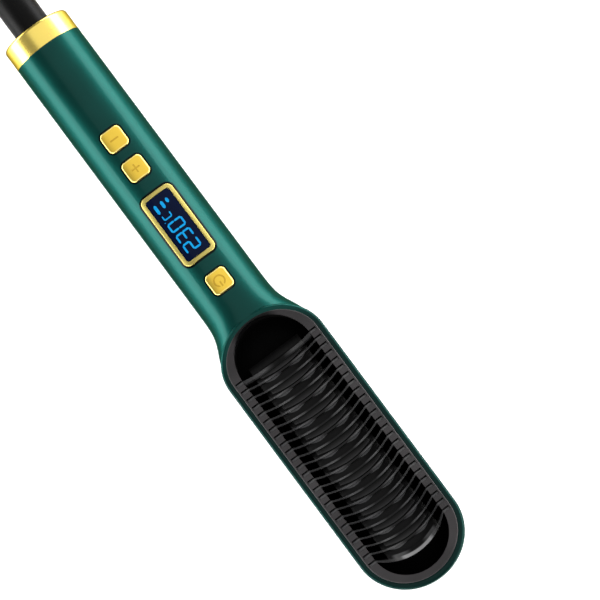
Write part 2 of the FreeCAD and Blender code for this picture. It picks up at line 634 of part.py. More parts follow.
def bowed_strip(left, left_bow, right, right_bow, half_width, end=None):
    """An upright block between two arcs across the head, with straight ends beyond half_width."""
    low, high = BASE_BOTTOM, GUARD_TOP

    def side(x, bow, up):
        ends = [V(x, -up * half_width, low), V(x, up * half_width, low)]
        arc = Part.Arc(ends[0], V(x + bow, 0, low), ends[1]).toShape()
        if end is None:
            return [arc]
        runs = [((x, -up * end), (x, -up * half_width)), ((x, up * half_width), (x, up * end))]
        first, last = [Part.LineSegment(V(*a, low), V(*b, low)).toShape() for a, b in runs]
        return [first, arc, last]

    tip = half_width if end is None else end
    edges = side(left, left_bow, 1)
    edges.append(Part.LineSegment(V(left, tip, low), V(right, tip, low)).toShape())
    edges += side(right, right_bow, -1)
    edges.append(Part.LineSegment(V(right, -tip, low), V(left, -tip, low)).toShape())
    return Part.Face(Part.Wire(edges)).extrude(V(0, 0, high - low))


def dished_block(sink, start, end, slope=0.0):
    """Flat below, dished above, its face lying sink below the fin tops. With a slope, the face falls to
    the base over that distance, at both of its long edges."""
    middle, fall = FIN_TOP - DISH_DEPTH - sink, DISH_DEPTH - DISH_SHOULDER
    edge = BASE_HALF_WIDTH
    crest_y = edge - slope
    dish_radius = (edge ** 2 + fall ** 2) / (2 * fall)
    crest = middle + dish_radius - math.sqrt(dish_radius ** 2 - crest_y ** 2)
    arc = Part.Arc(V(start, -crest_y, crest), V(start, 0, middle), V(start, crest_y, crest)).toShape()
    right = [(crest_y, crest), (edge, BASE_BOTTOM)]
    if slope:
        right.insert(1, (edge, FIN_TOP - DISH_SHOULDER - FLOOR_SINK))
    outline = [V(start, y, z) for y, z in right + [(-y, z) for y, z in reversed(right)]]
    sides = [Part.LineSegment(a, b).toShape() for a, b in zip(outline, outline[1:])]
    return Part.Face(Part.Wire([arc] + sides)).extrude(V(end - start, 0, 0))


def fin_profile(start, end, sink=0.0):
    """The outline that all fins share, seen along the handle: a dish between two ends that sit in slots."""
    knee, tip = OPENING_HALF_WIDTH - FIN_KNEE_INSET, GUARD_HALF_WIDTH - GUARD_BAND - FIN_END_GAP
    top = FIN_TOP - sink
    shoulder, middle = top - DISH_SHOULDER, top - DISH_DEPTH
    slot_low = GUARD_TOP - SLOT_DEPTH + SEAT_GAP
    edge = BASE_HALF_WIDTH
    arc = Part.Arc(V(start, -edge, shoulder), V(start, 0, middle), V(start, edge, shoulder)).toShape()
    right = [(edge, shoulder), (knee, top), (tip, top), (tip, slot_low), (knee, slot_low),
             (edge, BASE_BOTTOM)]
    outline = right + [(-y, z) for y, z in reversed(right)]
    sides = [Part.LineSegment(V(start, *a), V(start, *b)).toShape() for a, b in zip(outline, outline[1:])]
    return Part.Face(Part.Wire(Part.__sortEdges__([arc] + sides))).extrude(V(end - start, 0, 0))


def fin_bow(k):
    return FIRST_BOW + (LAST_BOW - FIRST_BOW) * (k / (FIN_COUNT - 1)) ** BOW_GROWTH


def heating_comb():
    knee = OPENING_HALF_WIDTH - FIN_KNEE_INSET
    tip = GUARD_HALF_WIDTH - GUARD_BAND
    half = FIN_THICKNESS / 2
    first, last = FIN_XS[0] - half, FIN_XS[-1] + half
    start, end = first - RAMP_LENGTH, last + END_WALL_OUTER_BOW + 1
    profile = fin_profile(start, end)
    base = dished_block(FLOOR_SINK, start, end)
    plan = bowed_strip(first, FIRST_BOW, last, END_WALL_OUTER_BOW, knee)
    pieces = [base.common(plan)]
    for k, x in enumerate(FIN_XS[:-1]):
        pieces.append(bowed_strip(x - half, fin_bow(k), x + half, fin_bow(k), knee, tip).common(profile))
    pieces.append(bowed_strip(last - FIN_THICKNESS, END_WALL_LIP_BOW, last, END_WALL_OUTER_BOW, knee, tip)
                  .common(profile))
    pieces.append(bowed_strip(last - FIN_THICKNESS, END_WALL_INNER_BOW, last, END_WALL_OUTER_BOW, knee)
                  .common(fin_profile(start, end, LAND_SINK)))
    pieces.append(bowed_strip(first, FIRST_BOW, first + FIRST_FIN_THICKNESS, FIRST_BOW, knee).common(profile))
    lands = dished_block(LAND_SINK, start, end, LAND_END_SLOPE)
    for k in range(0, FIN_COUNT - 2, 2):
        left = FIN_XS[k] + half
        left_at_edge = left + fin_bow(k) * (1 - (BASE_HALF_WIDTH / knee) ** 2)
        right_at_edge = left_at_edge + LAND_END_WIDTH
        widest = FIN_XS[k + 1] - half + fin_bow(k + 1) - LAND_CLEAR
        land = bowed_strip(left_at_edge - half, left + fin_bow(k) - left_at_edge, right_at_edge,
                           widest - right_at_edge, BASE_HALF_WIDTH)
        pieces.append(land.common(lands))
    pieces.append(comb_ramp(start, first + half))
    comb = joined(pieces)
    holes = [cylinder_z(CASE_SCREW_RADIUS + SCREW_BITE, x, y, BASE_BOTTOM,
                        HEAD_SCREW_SEAT + HEAD_SCREW_LENGTH + 0.5) for x, y in TRAY_BOSSES]
    holes += [cylinder_z(SMALL_SCREW_RADIUS + SCREW_BITE, x, y, BASE_BOTTOM,
                         CLAMP_BOTTOM + CLAMP_SCREW_LENGTH + 0.5) for x, y in CLAMP_SCREWS]
    return comb.cut(holes)


def comb_ramp(start, end):
    """The slope that leads up to the first fin from the handle's side."""
    top = FIN_TOP - DISH_DEPTH - LAND_SINK
    edge = BASE_HALF_WIDTH
    corners = [V(start, -edge, BASE_BOTTOM), V(start, -edge, BASE_BOTTOM + RAMP_FOOT),
               V(end, -edge, top), V(end, -edge, BASE_BOTTOM), V(start, -edge, BASE_BOTTOM)]
    return Part.Face(Part.makePolygon(corners)).extrude(V(0, 2 * edge, 0))


def inner_tray():
    outside = oval_block(tray_oval(0), TRAY_BOTTOM, GUARD_BOTTOM - SEAT_GAP)
    outside = outside.makeFillet(BACK_ROUND - TRAY_BOTTOM, edges_at(outside, TRAY_BOTTOM))
    low = TRAY_BOTTOM + TRAY_WALL
    inside = oval_block(tray_oval(TRAY_WALL), low, GUARD_BOTTOM)
    inside = inside.makeFillet(BACK_ROUND - low, edges_at(inside, low))
    bosses = [cylinder_z(TRAY_BOSS_RADIUS, x, y, low - TRAY_WALL / 2, BASE_BOTTOM) for x, y in TRAY_BOSSES]
    tray = joined([outside.cut(inside)] + bosses)
    holes = [cylinder_z(CASE_SCREW_RADIUS + SCREW_PASS, x, y, 0, BASE_BOTTOM) for x, y in TRAY_BOSSES]
    holes += lead_holes(HEATER_LEAD_RISE_X, HEATER_LEAD_YS, HEATER_LEAD_RADIUS)
    holes += lead_holes(SENSOR_LEAD_RISE_X, SENSOR_LEAD_YS, SENSOR_LEAD_RADIUS)
    return tray.cut(holes)


def lead_holes(x, ys, radius):
    """One long hole through the tray's floor for two leads side by side."""
    size = radius + LEAD_HOLE_GAP
    low, high = TRAY_BOTTOM - 1, TRAY_BOTTOM + TRAY_WALL + 1
    return [rounded_block(x, 2 * size, abs(ys[0] - ys[1]) + 2 * size, size * 0.99, low, high, sum(ys) / 2)]


def heater_parts():
    """The heating element and the sheet, clamp, screws, fuse link and sensor that go with it."""
    start, end = HEATER_NEAR_X, HEATER_FAR_X
    element = block(start, end, -HEATER_HALF_WIDTH, HEATER_HALF_WIDTH, HEATER_BOTTOM, BASE_BOTTOM)
    mica_low = HEATER_BOTTOM - MICA_THICKNESS
    mica = block(start, end, -HEATER_HALF_WIDTH, HEATER_HALF_WIDTH, mica_low, HEATER_BOTTOM)
    clamp = block(start - CLAMP_OVERHANG, end + CLAMP_OVERHANG, -CLAMP_HALF_WIDTH, CLAMP_HALF_WIDTH,
                  CLAMP_BOTTOM, mica_low)
    clamp = clamp.cut([cylinder_z(SMALL_SCREW_RADIUS + SCREW_PASS, x, y, CLAMP_BOTTOM, mica_low)
                       for x, y in CLAMP_SCREWS])
    screws = [screw(x, y, CLAMP_BOTTOM, 1, SMALL_SCREW_RADIUS, CLAMP_SCREW_LENGTH, SMALL_HEAD_RADIUS,
                    SMALL_HEAD_HEIGHT) for x, y in CLAMP_SCREWS]
    link = Part.makeCylinder(FUSE_LINK_RADIUS, FUSE_LINK_LENGTH,
                             V(end + CLAMP_OVERHANG + FUSE_LINK_BEYOND, -FUSE_LINK_LENGTH / 2,
                               BASE_BOTTOM - FUSE_LINK_RADIUS - SEAT_GAP), V(0, 1, 0))
    sensor = cylinder_x(SENSOR_RADIUS, SENSOR_X, SENSOR_X + SENSOR_LENGTH, sum(SENSOR_LEAD_YS) / 2,
                        SENSOR_LEAD_Z)
    return {"ptc_heater": element, "mica_sheet": mica, "heater_clamp": clamp,
            "clamp_screws": Part.makeCompound(screws), "thermal_fuse": link, "temperature_sensor": sensor}


# Keys and display

def key_marks(kind, x):
    """What is engraved on a key, as upright prisms round its middle. A key reads with the head up."""
    low, high = AXIS_Z, AXIS_Z + 2 * HANDLE_RADIUS
    half, reach = MARK_WIDTH / 2, MARK_LENGTH / 2
    across = block(x - half, x + half, -reach, reach, low, high)
    if kind == "minus":
        return [across]
    if kind == "plus":
        return [across, block(x - reach, x + reach, -half, half, low, high)]
    ring = cylinder_z(POWER_MARK_RADIUS + half, x, 0, low, high)
    ring = ring.cut(cylinder_z(POWER_MARK_RADIUS - half, x, 0, low, high))
    ring = ring.cut(block(x, x + 2 * POWER_MARK_RADIUS, -1.5 * MARK_WIDTH, 1.5 * MARK_WIDTH, low, high))
    return [ring, block(x + half, x + POWER_MARK_RADIUS + half, -half, half, low, high)]


def key(kind, x):
    lip_outer = INNER_RADIUS - FACE_GAP
    lip_inner = lip_outer - KEY_LIP_THICKNESS
    top = HANDLE_RADIUS + KEY_RISE
    cap = curved_plate(x, KEY_SIZE, KEY_SIZE, KEY_CORNER, lip_inner, top)
    cap = cap.makeFillet(KEY_ROUND, edges_on(cap, top))
    cap = cap.cut([mark.cut(cylinder_x(top - MARK_DEPTH, x - KEY_SIZE, x + KEY_SIZE))
                   for mark in key_marks(kind, x)])
    size = KEY_SIZE + 2 * KEY_LIP
    lip = curved_plate(x, size, size, KEY_CORNER + KEY_LIP, lip_inner, lip_outer)
    nub_low = CONTROL_BOARD_TOP + SWITCH_HEIGHT + SWITCH_PLUNGER_HEIGHT + KEY_TRAVEL + SEAT_GAP
    nub = cylinder_z(KEY_NUB_RADIUS, x, 0, nub_low, AXIS_Z + lip_outer - KEY_LIP_THICKNESS / 2)
    return joined([cap, lip, nub])


def key_switches():
    half = SWITCH_SIZE / 2
    body_top = CONTROL_BOARD_TOP + SWITCH_HEIGHT
    switches = []
    for x in KEYS.values():
        body = block(x - half, x + half, -half, half, CONTROL_BOARD_TOP, body_top)
        switches.append(joined([body, cylinder_z(SWITCH_PLUNGER_RADIUS, x, 0, body_top,
                                                 body_top + SWITCH_PLUNGER_HEIGHT)]))
    return Part.makeCompound(switches)


def display_bezel():
    top = HANDLE_RADIUS + BEZEL_RISE
    frame = curved_plate(DISPLAY_X, BEZEL_LENGTH, BEZEL_WIDTH, BEZEL_CORNER, INNER_RADIUS, top)
    opening = curved_plate(DISPLAY_X, BEZEL_LENGTH - 2 * BEZEL_FRAME, BEZEL_WIDTH - 2 * BEZEL_FRAME,
                           BEZEL_CORNER - BEZEL_FRAME + 0.4, INNER_RADIUS - 1, top + 1)
    frame = frame.cut(opening)
    return frame.makeFillet(BEZEL_ROUND, edges_on(frame, top))


def display_window():
    lip_outer = INNER_RADIUS - SEAT_GAP
    lip_inner = lip_outer - WINDOW_LIP_THICKNESS
    pane = curved_plate(DISPLAY_X, BEZEL_LENGTH - 2 * BEZEL_FRAME - 2 * SEAT_GAP,
                        BEZEL_WIDTH - 2 * BEZEL_FRAME - 2 * SEAT_GAP,
                        BEZEL_CORNER - BEZEL_FRAME + 0.3, lip_inner, HANDLE_RADIUS + WINDOW_RISE)
    lip = curved_plate(DISPLAY_X, BEZEL_LENGTH + 2 * WINDOW_LIP, BEZEL_WIDTH + 2 * WINDOW_LIP, BEZEL_CORNER,
                       lip_inner, lip_outer)
    return joined([pane, lip])


def display_module():
    return rounded_block(DISPLAY_X, MODULE_LENGTH, MODULE_WIDTH, 0.8, CONTROL_BOARD_TOP,
                         CONTROL_BOARD_TOP + MODULE_HEIGHT)


# Boards and what is on them

def board(start, end, top, posts):
    plate = block(start, end, -BOARD_HALF_WIDTH, BOARD_HALF_WIDTH, top - BOARD_THICKNESS, top)
    return plate.cut([cylinder_z(SMALL_SCREW_RADIUS + SCREW_PASS, x, y, top - BOARD_THICKNESS, top)
                      for x, y in posts])


def board_parts():
    top = POWER_BOARD_TOP
    under = CONTROL_BOARD_TOP - BOARD_THICKNESS
    length, width, height = CHIP_SIZE
    chip = block(DISPLAY_X - length / 2, DISPLAY_X + length / 2, -width / 2, width / 2,
                 under - height, under)
    length, width, height = FILM_SIZE
    film = rounded_block(FILM_X, length, width, 0.8, top, top + height, FILM_Y)
    low_y, high_y = TRIAC_Y - TRIAC_WIDTH / 2, TRIAC_Y + TRIAC_WIDTH / 2
    tab = TRIAC_START + TRIAC_LENGTH
    triac = joined([block(TRIAC_START, tab, low_y, high_y, top, top + TRIAC_HEIGHT),
                    block(tab, tab + TRIAC_TAB_LENGTH, low_y, high_y, top, top + TRIAC_TAB_HEIGHT)])
    parts = {
        "control_board": board(CONTROL_BOARD_START, CONTROL_BOARD_END, CONTROL_BOARD_TOP, CONTROL_POSTS),
        "power_board": board(POWER_BOARD_START, POWER_BOARD_END, top, POWER_POSTS),
        "control_chip": chip,
        "film_capacitor": film,
        "electrolytic_capacitor": cylinder_x(CAN_RADIUS, CAN_START, CAN_START + CAN_LENGTH, CAN_Y,
                                             top + CAN_RADIUS),
        "mains_fuse": cylinder_x(MAINS_FUSE_RADIUS, MAINS_FUSE_START, MAINS_FUSE_START + MAINS_FUSE_LENGTH,
                                 MAINS_FUSE_Y, top + MAINS_FUSE_RADIUS),
        "triac": triac,
        "board_link": block(LINK_START, LINK_START + LINK_LENGTH, LINK_Y - LINK_WIDTH / 2,
                            LINK_Y + LINK_WIDTH / 2, top, under),
        "key_switches": key_switches(),
    }
    small = (SMALL_SCREW_RADIUS, SMALL_HEAD_RADIUS, SMALL_HEAD_HEIGHT)
    parts["control_board_screws"] = Part.makeCompound(
        [screw(x, y, under, 1, small[0], CONTROL_SCREW_LENGTH, *small[1:]) for x, y in CONTROL_POSTS])
    parts["power_board_screws"] = Part.makeCompound(
        [screw(x, y, top, -1, small[0], POWER_SCREW_LENGTH, *small[1:]) for x, y in POWER_POSTS])
    return parts


def tray_route(start, y, rise_x, high, end_x):
    """From a board down to the back of the handle, under the tray, and up through its floor."""
    x, low = start
    return [(x, y, low), (x, y, HANDLE_LEAD_Z), (LEAD_DIP_START, y, HANDLE_LEAD_Z),
            (LEAD_DIP_END, y, TRAY_LEAD_Z), (rise_x, y, TRAY_LEAD_Z), (rise_x, y, high), (end_x, y, high)]


def leads():
    block_end = CONTACT_BLOCK_X + CONTACT_BLOCK_LENGTH
    mains = [[(block_end, y, MAINS_LEAD_Z), (MAINS_LEAD_DROP_X, y, MAINS_LEAD_Z),
              (MAINS_LEAD_DROP_X, y, POWER_BOARD_TOP)] for y in (-MAINS_LEAD_Y, MAINS_LEAD_Y)]
    power_start = (HEATER_LEAD_START_X, POWER_BOARD_TOP - BOARD_THICKNESS)
    heater = [tray_route(power_start, y, HEATER_LEAD_RISE_X, HEATER_LEAD_Z, HEATER_NEAR_X)
              for y in HEATER_LEAD_YS]
    control_start = (SENSOR_LEAD_START_X, CONTROL_BOARD_TOP - BOARD_THICKNESS)
    sensor = [tray_route(control_start, y, SENSOR_LEAD_RISE_X, SENSOR_LEAD_Z, SENSOR_X)
              for y in SENSOR_LEAD_YS]
    sets = {"mains_leads": (mains, LEAD_RADIUS), "heater_leads": (heater, HEATER_LEAD_RADIUS),
            "sensor_leads": (sensor, SENSOR_LEAD_RADIUS)}
    return {name: Part.makeCompound([round_tube(route, radius, LEAD_BEND)[0] for route in routes])
            for name, (routes, radius) in sets.items()}


def case_screws():
    handle = [screw(x, 0, CASE_HEAD_SEAT, 1, CASE_SCREW_RADIUS, HANDLE_SCREW_LENGTH, CASE_HEAD_RADIUS,
                    CASE_HEAD_HEIGHT) for x in (TAIL_SCREW_X, NECK_SCREW_X)]
    head = [screw(x, y, HEAD_SCREW_SEAT, 1, CASE_SCREW_RADIUS, HEAD_SCREW_LENGTH, CASE_HEAD_RADIUS,
                  CASE_HEAD_HEIGHT) for x, y in TRAY_BOSSES]
    return {"handle_screws": Part.makeCompound(handle), "head_screws": Part.makeCompound(head)}


# Swivel

def swivel_socket():
    shoulder = COLLAR_LENGTH + NECK_STEP + SEAT_GAP
    sleeve = cylinder_x(SOCKET_RADIUS, SOCKET_START, shoulder)
    flange = cylinder_x(INNER_RADIUS - SEAT_GAP, shoulder, SOCKET_END)
    return joined([sleeve, flange]).cut(cylinder_x(BARREL_RADIUS + BEARING_GAP, SOCKET_START, SOCKET_END))


def swivel_barrel():
    body = cylinder_x(BARREL_RADIUS, -BARREL_OUT, BARREL_END)
    tail = [e for e in body.Edges if e.BoundBox.XMax < -BARREL_OUT + 1e-3]
    body = body.makeFillet(BARREL_RADIUS - BOOT_ROOT_RADIUS, tail)
    flange = cylinder_x(FLANGE_RADIUS, BARREL_END, BARREL_END + FLANGE_THICKNESS)
    spigot = cylinder_x(SPIGOT_RADIUS, BARREL_END + FLANGE_THICKNESS, SPIGOT_END)
    groove = tube_x(BARREL_RADIUS + 1, BARREL_RADIUS - CLIP_DEPTH, CLIP_X, CLIP_X + CLIP_THICKNESS)
    return joined([body, flange, spigot]).cut(groove)


def swivel_clip():
    ring = tube_x(FLANGE_RADIUS, BARREL_RADIUS - CLIP_DEPTH, CLIP_X, CLIP_X + CLIP_THICKNESS)
    return ring.cut(block(CLIP_X, CLIP_X + CLIP_THICKNESS, -3, 3, AXIS_Z - FLANGE_RADIUS - 1, AXIS_Z))


def slip_rings():
    return Part.makeCompound([tube_x(SPIGOT_RADIUS + SLIP_RING_THICKNESS, SPIGOT_RADIUS, x,
                                     x + SLIP_RING_WIDTH) for x in SLIP_RING_XS])


def contact_block():
    return block(CONTACT_BLOCK_X, CONTACT_BLOCK_X + CONTACT_BLOCK_LENGTH, -CONTACT_BLOCK_HALF_WIDTH,
                 CONTACT_BLOCK_HALF_WIDTH, CONTACT_BLOCK_LOW, CONTACT_BLOCK_HIGH)


def contact_springs():
    low = AXIS_Z + SPIGOT_RADIUS + SLIP_RING_THICKNESS + FACE_GAP
    springs = []
    for x in SLIP_RING_XS:
        pad = block(x + CONTACT_LEAF, x + SLIP_RING_WIDTH, -2, 2, low, low + CONTACT_LEAF)
        leg = block(x + CONTACT_LEAF, x + 2 * CONTACT_LEAF, -2, 2, low, CONTACT_BLOCK_LOW)
        springs.append(joined([pad, leg]))
    return Part.makeCompound(springs)


def strain_relief():
    """A tapered boot with rings around it."""
    def slice_of(start, end, depth):
        radii = [BOOT_ROOT_RADIUS + (BOOT_END_RADIUS - BOOT_ROOT_RADIUS) * x / BOOT_LENGTH - depth
                 for x in (start, end)]
        return Part.makeCone(radii[0], radii[1], end - start, V(-BARREL_OUT - start, 0, AXIS_Z), V(-1, 0, 0))

    pitch = BOOT_LENGTH / BOOT_RIBS
    ribs = [slice_of(k * pitch, (k + 0.62) * pitch, 0) for k in range(BOOT_RIBS)]
    return joined([slice_of(0, BOOT_LENGTH, BOOT_RIB_DEPTH)] + ribs)


# Cord

def turns_oval(radius):
    return (HANK_X - HANK_STRAIGHT, radius, HANK_X, radius, radius)


def cord_hank():
    """The outside of the wound part of the cord, with the two short ends that leave it."""
    outer = HANK_TURN_RADIUS + (2 * HANK_COLUMNS - 1) * CORD_RADIUS
    low, high = TIE_THICKNESS, TIE_THICKNESS + 2 * CORD_RADIUS * HANK_LAYERS
    ring = oval_block(turns_oval(outer), low, high)
    ring = ring.cut(oval_block(turns_oval(HANK_TURN_RADIUS - CORD_RADIUS), low, high))
    ring = ring.makeFillet(CORD_RADIUS * 0.8, edges_at(ring, low) + edges_at(ring, high))
    stub = CORD_RADIUS - SCREW_BITE
    start, end = HANK_X + CORD_RADIUS, HANK_X + HANK_STUB
    ends = [cylinder_x(stub, start, end, y, z) for _, y, z in (LEAD_ROUTE[-1], TAIL_ROUTE[0])]
    return joined([ring] + ends)


def cord_ties():
    low = HANK_TURN_RADIUS - CORD_RADIUS
    width = 2 * CORD_RADIUS * HANK_COLUMNS
    height = 2 * CORD_RADIUS * HANK_LAYERS
    middle_x = HANK_X - HANK_STRAIGHT / 2
    ties = []
    for side in (-1, 1):
        shapes = []
        for gap in (TIE_THICKNESS, SCREW_BITE):
            bar = block(middle_x - TIE_WIDTH / 2, middle_x + TIE_WIDTH / 2, low - gap, low + width + gap,
                        TIE_THICKNESS - gap, TIE_THICKNESS + height + gap)
            along = [e for e in bar.Edges if abs(e.tangentAt(e.FirstParameter).x) > 0.99]
            shapes.append(bar.makeFillet(CORD_RADIUS * 0.8 + gap - SCREW_BITE, along))
        tie = shapes[0].cut(shapes[1])
        if side < 0:
            tie = tie.mirror(V(0, 0, 0), V(0, 1, 0))
        ties.append(tie)
    return Part.makeCompound(ties)


def plug_parts():
    x, y, z = TAIL_ROUTE[-1]
    back = x + PLUG_RELIEF_LENGTH
    front = back + PLUG_LENGTH
    relief = Part.makeCone(CORD_RADIUS + 0.6, PLUG_RELIEF_RADIUS, PLUG_RELIEF_LENGTH, V(x, y, z), V(1, 0, 0))
    body = block(back, front, y - PLUG_WIDTH / 2, y + PLUG_WIDTH / 2, 0, PLUG_HEIGHT)
    body = body.makeFillet(PLUG_ROUND, body.Edges)
    blades = [block(front, front + BLADE_LENGTH, y + side * BLADE_SPACING / 2 - BLADE_THICKNESS / 2,
                    y + side * BLADE_SPACING / 2 + BLADE_THICKNESS / 2, z - BLADE_HEIGHT / 2,
                    z + BLADE_HEIGHT / 2) for side in (-1, 1)]
    return {"plug_relief": relief, "plug_body": body, "plug_blades": Part.makeCompound(blades)}


def cord_parts():
    parts = {"cord_hank": cord_hank(), "cord_ties": cord_ties()}
    for name, route in (("cord_lead", LEAD_ROUTE), ("cord_tail", TAIL_ROUTE)):
        tube, length, radii = round_tube(route, CORD_RADIUS)
        parts[name] = tube
        share = tube.Volume / (math.pi * CORD_RADIUS ** 2 * length)
        print(f"{name}: {length:.1f} mm, radii {[round(r) for r in radii]} mm, volume / (section x length) "
              f"{share:.4f}")
    parts.update(plug_parts())
    return parts


def all_parts():
    skin = whole_skin()
    parts = {
        "front_shell": front_shell(skin),
        "rear_shell": rear_shell(skin),
        "end_ring": end_ring(),
        "guard_ring": guard_ring(),
        "heating_comb": heating_comb(),
        "inner_tray": inner_tray(),
        "display_bezel": display_bezel(),
        "display_window": display_window(),
        "display_module": display_module(),
        "swivel_socket": swivel_socket(),
        "swivel_barrel": swivel_barrel(),
        "swivel_clip": swivel_clip(),
        "slip_rings": slip_rings(),
        "contact_block": contact_block(),
        "contact_springs": contact_springs(),
        "strain_relief": strain_relief(),
    }
    for kind, x in KEYS.items():
        parts[f"{kind}_button"] = key(kind, x)
    for group in (heater_parts(), board_parts(), leads(), case_screws(), cord_parts()):
        parts.update(group)
    return parts


def main():
    os.makedirs("parts", exist_ok=True)
    for name, shape in all_parts().items():
        moved = shape.copy()
        moved.translate(V(-MIDDLE_X, 0, 0))
        moved.exportStep(f"parts/{name}.step")


main()
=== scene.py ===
import math

import bpy
from mathutils import Matrix, Vector


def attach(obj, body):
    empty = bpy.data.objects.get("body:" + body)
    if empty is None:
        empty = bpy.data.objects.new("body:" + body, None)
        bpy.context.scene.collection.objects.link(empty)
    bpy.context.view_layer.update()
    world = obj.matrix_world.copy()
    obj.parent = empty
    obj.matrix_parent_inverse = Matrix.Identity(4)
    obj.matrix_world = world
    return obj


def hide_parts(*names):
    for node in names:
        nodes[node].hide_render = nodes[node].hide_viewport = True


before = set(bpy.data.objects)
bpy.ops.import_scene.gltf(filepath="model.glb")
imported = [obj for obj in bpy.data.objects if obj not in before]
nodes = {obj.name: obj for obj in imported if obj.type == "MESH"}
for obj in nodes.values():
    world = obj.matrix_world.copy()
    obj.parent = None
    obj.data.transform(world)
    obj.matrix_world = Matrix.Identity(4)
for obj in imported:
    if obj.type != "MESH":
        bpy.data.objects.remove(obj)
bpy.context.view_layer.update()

MM = 0.001
MIDDLE_X = 110.95         # station of the frame's origin: stations count from the tail end of the gold collar
AXIS_Z = 15.75            # height of the handle's axis
scene = bpy.context.scene
scene.view_settings.view_transform = "Standard"


def place(x, y, z):
    """A point given by its station along the brush, in metres in the row frame."""
    return Vector(((x - MIDDLE_X) * MM, y * MM, z * MM))


# Camera: long lens, looking down at the face and tilted a little towards the tip

VIEW_TURN = math.radians(53.3)    # the brush's slant in the picture
VIEW_TILT = math.radians(5.5)
VIEW_WIDTH = 252.1                # what the picture takes in, at the handle's axis
VIEW_MIDDLE = (159.2, 22.15, AXIS_Z)
LENS = 250.0
SENSOR = 36.0

along = Vector((math.cos(VIEW_TILT), 0, -math.sin(VIEW_TILT)))
across = Vector((0, 1, 0))
towards = Vector((math.sin(VIEW_TILT), 0, math.cos(VIEW_TILT)))
right = along * math.cos(VIEW_TURN) + across * math.sin(VIEW_TURN)
up = across * math.cos(VIEW_TURN) - along * math.sin(VIEW_TURN)
distance = VIEW_WIDTH * MM * LENS / SENSOR

camera_data = bpy.data.cameras.new("camera")
camera_data.lens = LENS
camera_data.sensor_width = SENSOR
camera_data.clip_start = 0.1
camera_data.clip_end = 10.0
camera = bpy.data.objects.new("camera", camera_data)
scene.collection.objects.link(camera)
turn = Matrix((right, up, towards)).transposed()
camera.matrix_world = Matrix.Translation(place(*VIEW_MIDDLE) + towards * distance) @ turn.to_4x4()
scene.camera = camera


# Cord: from the strain relief into a tied hank, and out of it to the plug

CORD_RADIUS = 3.0
HANK_NEAR_X = -160.0
HANK_FAR_X = -199.1       # 0.9 nearer than the CAD's block, so that the spline's control points stay in its box
LAYERS = (4, 10, 16, 22)  # heights of the turns
OUTER, INNER = 24.0, 18.0
# The layer and radius of each whole turn, from the lowest layer up. The last half turn comes back outside
TURNS = [(0, OUTER), (0, INNER), (1, INNER), (1, OUTER), (2, OUTER), (2, INNER), (3, INNER)]
LAST_TURN = (3, OUTER)
ARC_STEPS = 6

LEAD_ROUTE = [(-66, 0, 15.75), (-81, 0, 15.75), (-96, -5, 13), (-112, -19, 6.75), (-126, -24, 4),
              (-140, -24, 4)]
TAIL_ROUTE = [(-140, 24, 22), (-122, 24, 22), (-94, 25, 6.5), (-76, 25, 6.5)]


def half_turn(middle_x, start_angle, radius, next_radius, z, next_z):
    """Points round one end of the hank. The radius and height change over the arc."""
    points = []
    for k in range(ARC_STEPS + 1):
        share = k / ARC_STEPS
        eased = share * share * (3 - 2 * share)
        reach = (radius + (next_radius - radius) * eased) / math.cos(math.pi / ARC_STEPS / 2)
        if k in (0, ARC_STEPS):
            reach = radius if k == 0 else next_radius
        angle = start_angle - math.pi * share
        points.append((middle_x + reach * math.cos(angle), reach * math.sin(angle), z + (next_z - z) * eased))
    return points


def hank_points():
    points = []
    columns = TURNS + [LAST_TURN]
    for (layer, radius), (next_layer, next_radius) in zip(columns, columns[1:]):
        z, next_z = LAYERS[layer], LAYERS[next_layer]
        points += half_turn(HANK_FAR_X, -math.pi / 2, radius, radius, z, z)
        points += half_turn(HANK_NEAR_X, math.pi / 2, radius, next_radius, z, next_z)
    layer, radius = LAST_TURN
    points += half_turn(HANK_FAR_X, -math.pi / 2, radius, radius, LAYERS[layer], LAYERS[layer])
    return points


route = LEAD_ROUTE + hank_points() + TAIL_ROUTE
flex = bpy.data.curves.new("flex", "CURVE")
flex.dimensions = "3D"
flex.bevel_depth = 1.0     # times the radius of each point
flex.bevel_resolution = 5
flex.use_fill_caps = True
line = flex.splines.new("NURBS")
line.points.add(len(route) - 1)
for point, spot in zip(line.points, route):
    point.co = (*place(*spot), 1)
    point.radius = CORD_RADIUS * MM
line.order_u = 3
line.use_endpoint_u = True
line.resolution_u = 8
cord = bpy.data.objects.new("cord", flex)
scene.collection.objects.link(cord)
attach(cord, "brush")
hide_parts("cord_lead", "cord_hank", "cord_tail")


# Helpers for materials. A value is a number, a colour or the output of a node

def grey(level):
    return (level, level, level)


def station(x):
    """A station as a distance from the frame's origin, in millimetres."""
    return x - MIDDLE_X


def new_material(name):
    material = bpy.data.materials.new(name)
    material.use_nodes = True
    return material, material.node_tree, material.node_tree.nodes["Principled BSDF"]


def parts_of(material):
    """The tree, the shader and the output that feeds the shader's colour."""
    tree = material.node_tree
    shader = tree.nodes["Principled BSDF"]
    return tree, shader, shader.inputs["Base Color"].links[0].from_socket


def noise(tree, scale, detail=4.0, stretch=(1, 1, 1)):
    """A noise texture in the object's own metres, so it keeps its scale."""
    spot = tree.nodes.new("ShaderNodeTexCoord")
    mapping = tree.nodes.new("ShaderNodeMapping")
    mapping.inputs["Scale"].default_value = stretch
    texture = tree.nodes.new("ShaderNodeTexNoise")
    texture.inputs["Scale"].default_value = scale
    texture.inputs["Detail"].default_value = detail
    tree.links.new(spot.outputs["Object"], mapping.inputs["Vector"])
    tree.links.new(mapping.outputs["Vector"], texture.inputs["Vector"])
    return texture.outputs["Fac"]


